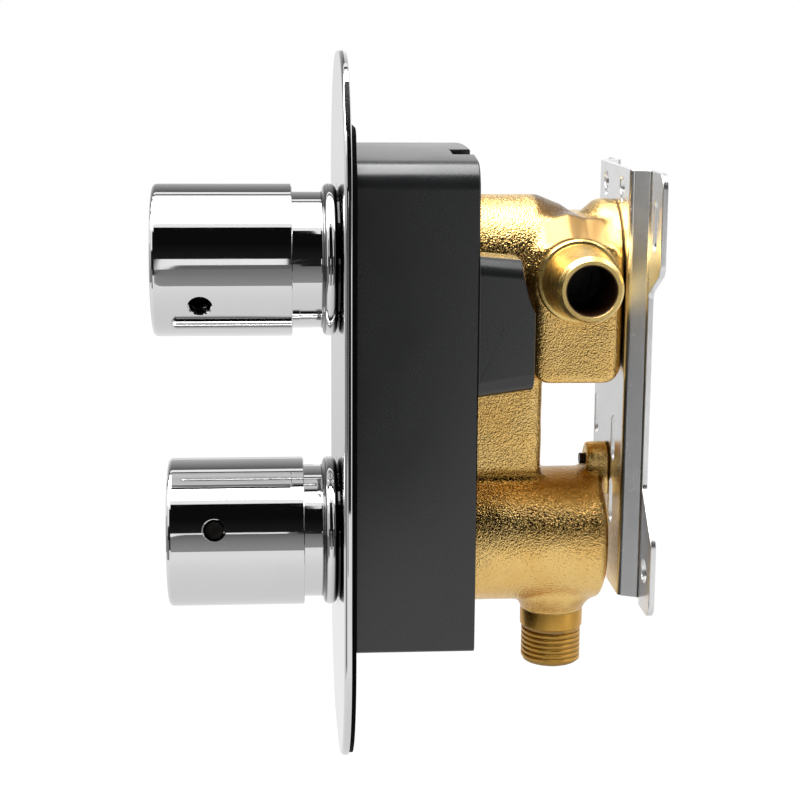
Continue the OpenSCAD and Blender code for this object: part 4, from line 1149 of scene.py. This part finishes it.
@dataclass(frozen=True)
class Card:
    """A sheet that only reflections see, whose light changes evenly from one height to another."""

    name: str
    corners: Sequence[Point]
    from_light: float
    to_light: float
    from_height: float = 0.0
    to_height: float = 1.0

    def material(self) -> bpy.types.Material:
        """A glow that follows the height."""
        tree = ShaderTree(self.name)
        height = tree.add("ShaderNodeSeparateXYZ", inputs={0: tree.place()}).outputs[2]
        span = tree.add("ShaderNodeMapRange", {"interpolation_type": "LINEAR"},
                        {0: height, 1: self.from_height, 2: self.to_height, 3: 0.0, 4: 1.0})
        light = tree.mix(Value(tree, span.outputs[0]), (self.from_light,) * 3, (self.to_light,) * 3)
        glow = tree.add("ShaderNodeEmission", None, {0: light, 1: 1.0})
        tree.add("ShaderNodeOutputMaterial", None, {0: glow.outputs[0]})
        return tree.material


@dataclass
class Studio:
    """Pale floor, white surroundings, an overhead softbox and the cards that chrome reflects."""

    floor_height: float = -0.75
    fill: float = 0.55
    key_watts: float = 9.0
    overhead: float = 8.0
    overhead_rear: float = 1.3
    near: float = -1.6
    far: float = 1.6
    side: float = 1.2
    ceiling: float = 1.15

    def build(self) -> None:
        """Makes everything round the object."""
        self._world()
        self._floor()
        self._softbox()
        for card in self._cards():
            self._hang(card)
        bpy.context.scene.view_settings.view_transform = "Standard"

    def _world(self) -> None:
        """White to the camera and to reflections, a plain fill to everything else."""
        world = bpy.data.worlds.new("studio")
        world.use_nodes = True
        nodes, links = world.node_tree.nodes, world.node_tree.links
        nodes.clear()
        path = nodes.new("ShaderNodeLightPath")
        seen = nodes.new("ShaderNodeMath")
        seen.operation = "MAXIMUM"
        links.new(path.outputs["Is Camera Ray"], seen.inputs[0])
        links.new(path.outputs["Is Glossy Ray"], seen.inputs[1])
        either = nodes.new("ShaderNodeMath")
        either.operation = "MAXIMUM"
        links.new(seen.outputs[0], either.inputs[0])
        links.new(path.outputs["Is Transmission Ray"], either.inputs[1])
        strength = nodes.new("ShaderNodeMapRange")
        strength.inputs[3].default_value = self.fill
        strength.inputs[4].default_value = 1.0
        links.new(either.outputs[0], strength.inputs[0])
        sky = nodes.new("ShaderNodeBackground")
        sky.inputs[0].default_value = (1, 1, 1, 1)
        links.new(strength.outputs[0], sky.inputs[1])
        out = nodes.new("ShaderNodeOutputWorld")
        links.new(sky.outputs[0], out.inputs[0])
        bpy.context.scene.world = world

    def _floor(self) -> None:
        """A large pale floor that keeps a soft shadow, and shows a little darker in reflections."""
        tree = ShaderTree("pale_floor")
        path = tree.add("ShaderNodeLightPath")
        camera, glossy = (Value(tree, path.outputs[name]) for name in ("Is Camera Ray", "Is Glossy Ray"))
        matt = tree.add("ShaderNodeBsdfDiffuse", None, {0: (0.9, 0.9, 0.9)})
        x, y, _ = tree.axes()
        away = (x * x + y * y).root().ease(100, 1800)
        shown = tree.mix(away, (0.72, 0.72, 0.72), (0.92, 0.92, 0.92))
        light = tree.mix(camera, shown, (1.12, 1.12, 1.12))
        glow = tree.add("ShaderNodeEmission", None, {0: light, 1: 1.0})
        both = tree.add("ShaderNodeMixShader", None,
                        {0: camera.most(glossy) * 0.85, 1: matt.outputs[0], 2: glow.outputs[0]})
        tree.add("ShaderNodeOutputMaterial", None, {0: both.outputs[0]})
        self._sheet("floor", [(-6, -6, self.floor_height), (6, -6, self.floor_height),
                              (6, 6, self.floor_height), (-6, 6, self.floor_height)], tree.material)

    def _sheet(self, name: str, corners: Sequence[Sequence[float]],
               material: bpy.types.Material) -> bpy.types.Object:
        """A flat sheet of the stage.

        Args:
            name: its name.
            corners: its corners in metres.
            material: its material.

        Returns:
            The sheet.
        """
        mesh = bpy.data.meshes.new(name)
        mesh.from_pydata([tuple(c) for c in corners], [], [tuple(range(len(corners)))])
        mesh.materials.append(material)
        sheet = bpy.data.objects.new(name, mesh)
        bpy.context.scene.collection.objects.link(sheet)
        return sheet

    def _softbox(self) -> None:
        """The overhead softbox, whose light falls on matt pieces only; a card shows it to the others."""
        data = bpy.data.lights.new("key_softbox", "AREA")
        data.shape, data.size, data.energy = "SQUARE", 0.7, self.key_watts
        lamp = bpy.data.objects.new("key_softbox", data)
        lamp.matrix_world = Matrix.Translation((0.10, -0.05, 0.75))
        lamp.visible_glossy = False
        bpy.context.scene.collection.objects.link(lamp)

    def _hang(self, card: Card) -> None:
        """Hangs a card where only reflections see it."""
        sheet = self._sheet(card.name, card.corners, card.material())
        sheet.visible_camera = sheet.visible_diffuse = sheet.visible_shadow = False
        sheet.visible_transmission = sheet.visible_volume_scatter = False

    def _cards(self) -> list[Card]:
        """The cards, round the object: right side, left side, overhead and ends."""
        return [*self._right_cards(), *self._left_cards(), *self._top_cards(), *self._end_cards()]

    def _right_cards(self) -> list[Card]:
        """The greys and black flags that the knobs, the sleeves, the plate's rim and the bracket reflect."""
        slope_end = -0.094
        slope = [(0.27, slope_end, -0.062)]
        for step in range(13):
            turn = math.pi * step / 12
            share = 0.5 - 0.5 * math.cos(turn)
            slope.append((0.27 + 0.215 * share, -0.178 - 0.007 * math.sin(turn), -0.062 + 0.157 * share))
        slope.append((0.485, slope_end, 0.095))
        flag_end, flag_top = 1.1, 1.88
        flag = [(self.side, y, z) for y, z in (
            (flag_end, -0.02), (0.225, -0.02), (0.225, 0.12), (0.075, 0.12), (0.075, -0.19),
            (-0.03, -0.19), (-0.03, 0.05), (-0.108, 0.05), (-0.108, 0.27), (-0.235, 0.27),
            (-0.235, -0.25), (-0.75, -0.25), (-0.75, flag_top), (-0.06, flag_top), (-0.06, 1.54),
            (-0.03, 1.54), (-0.03, flag_top), (0.0, flag_top), (0.0, 2.35), (flag_end, 2.35))]
        rim = ((0.30, -0.094, -0.04), (0.30, -0.05, -0.04), (0.49, -0.05, 0.135), (0.49, -0.108, 0.135),
               (0.42, -0.108, 0.0705), (0.42, -0.094, 0.0705))
        rim_top = ((0.0547, -0.1065, 0.1502), (0.0547, -0.0985, 0.1502), (0.0379, -0.0985, 0.1658),
                   (0.0379, -0.1065, 0.1658))
        ear = ((1.0, -1.3, -0.74), (0.2, -1.3, -0.74), (0.2, -1.3, 0.0), (1.0, -1.3, 0.0))
        low = ((self.side, -0.76, -0.74), (self.side, -0.76, 0.35), (self.side, -1.7, 0.35),
               (self.side, -1.7, -0.74))
        return [
            Card("slanted_grey", slope, 0.30, 0.12, -0.062, 0.095),
            Card("black_flag", flag, 0.012, 0.004, 0.27, 0.8),
            Card("rim_black", rim, 0.012, 0.012),
            Card("rim_top_black", rim_top, 0.01, 0.10, 0.15, 0.163),
            Card("ear_grey", ear, 0.24, 0.24),
            Card("low_grey", low, 0.24, 0.12, -0.74, 0.35),
        ]

    def _left_cards(self) -> list[Card]:
        """The greys that the knobs' and the casting's upper left reflect, lighter behind the plate."""
        left_x, low, high, join = -2.5, -0.74, 0.47, -0.062
        left = ((left_x, -2.5, low), (left_x, -0.05, low), (left_x, -0.05, high), (left_x, -2.5, high))
        return [
            Card("left_grey", self._arc(127, 169, self.near, join), 0.10, 0.55, 1.0, 0.28),
            Card("left_bright", self._arc(127, 169, join, self.far), 0.60, 1.15, 1.0, 0.28),
            Card("left_pale", left, 0.56, 0.78, -0.74, 0.0),
        ]

    def _top_cards(self) -> list[Card]:
        """The softbox as reflections see it, pale behind, with a black line along its left edge."""
        change = 0.11
        return [
            Card("edge_flag", self._arc(118, 121, self.near, self.far), 0.01, 0.01),
            Card("overhead_white", self._overhead(self.near, change), self.overhead, self.overhead),
            Card("overhead_pale", self._overhead(change, self.far), self.overhead_rear, self.overhead_rear),
        ]

    def _end_cards(self) -> list[Card]:
        """The dark strip in front, and the grey sheets at both ends of the object's depth."""
        dark = ((0.66, -0.95, 0.0), (0.94, -0.85, 0.0), (0.94, -0.85, 0.8), (0.66, -0.95, 0.8))
        front, rear = (((-0.8, y, -0.6), (0.8, y, -0.6), (0.8, y, 1.4), (-0.8, y, 1.4)) for y in (-2.2, 2.2))
        return [
            Card("front_dark", dark, 0.02, 0.01, 0.0, 0.8),
            Card("front_grey", front, 0.20, 0.95, -0.6, 1.4),
            Card("rear_grey", rear, 0.30, 0.95, -0.6, 1.4),
        ]

    def _arc(self, start: float, end: float, near: float, far: float) -> list[Point]:
        """Corners of a sheet whose two long edges lie at two angles of a circle round the object.

        Args:
            start: first angle from the right-hand side, in degrees.
            end: second angle.
            near: Y of its front end in metres.
            far: Y of its rear end.

        Returns:
            The four corners.
        """
        return [(self.side * math.cos(math.radians(a)), y, 0.05 + self.side * math.sin(math.radians(a)))
                for a, y in ((start, near), (start, far), (end, far), (end, near))]

    def _overhead(self, near: float, far: float) -> list[Point]:
        """Corners of a level sheet overhead, from one Y to another."""
        return [(x, y, self.ceiling) for x, y in ((0.55, near), (0.55, far), (-0.50, far), (-0.50, near))]


def main() -> None:
    """Builds the finishes, the sub-assemblies, the camera and the studio, in that order."""
    logging.basicConfig(level=logging.INFO, format="%(name)s: %(message)s")
    PhotoCamera().build()
    finishes = Finishes()
    PlainNodes().build(finishes)
    Casting().build(finishes)
    FacePlate().build(finishes)
    Sleeves().build(finishes)
    SoftPieces().build(finishes)
    Outlet().build(finishes)
    Studio().build()


if __name__ == "__main__":
    main()
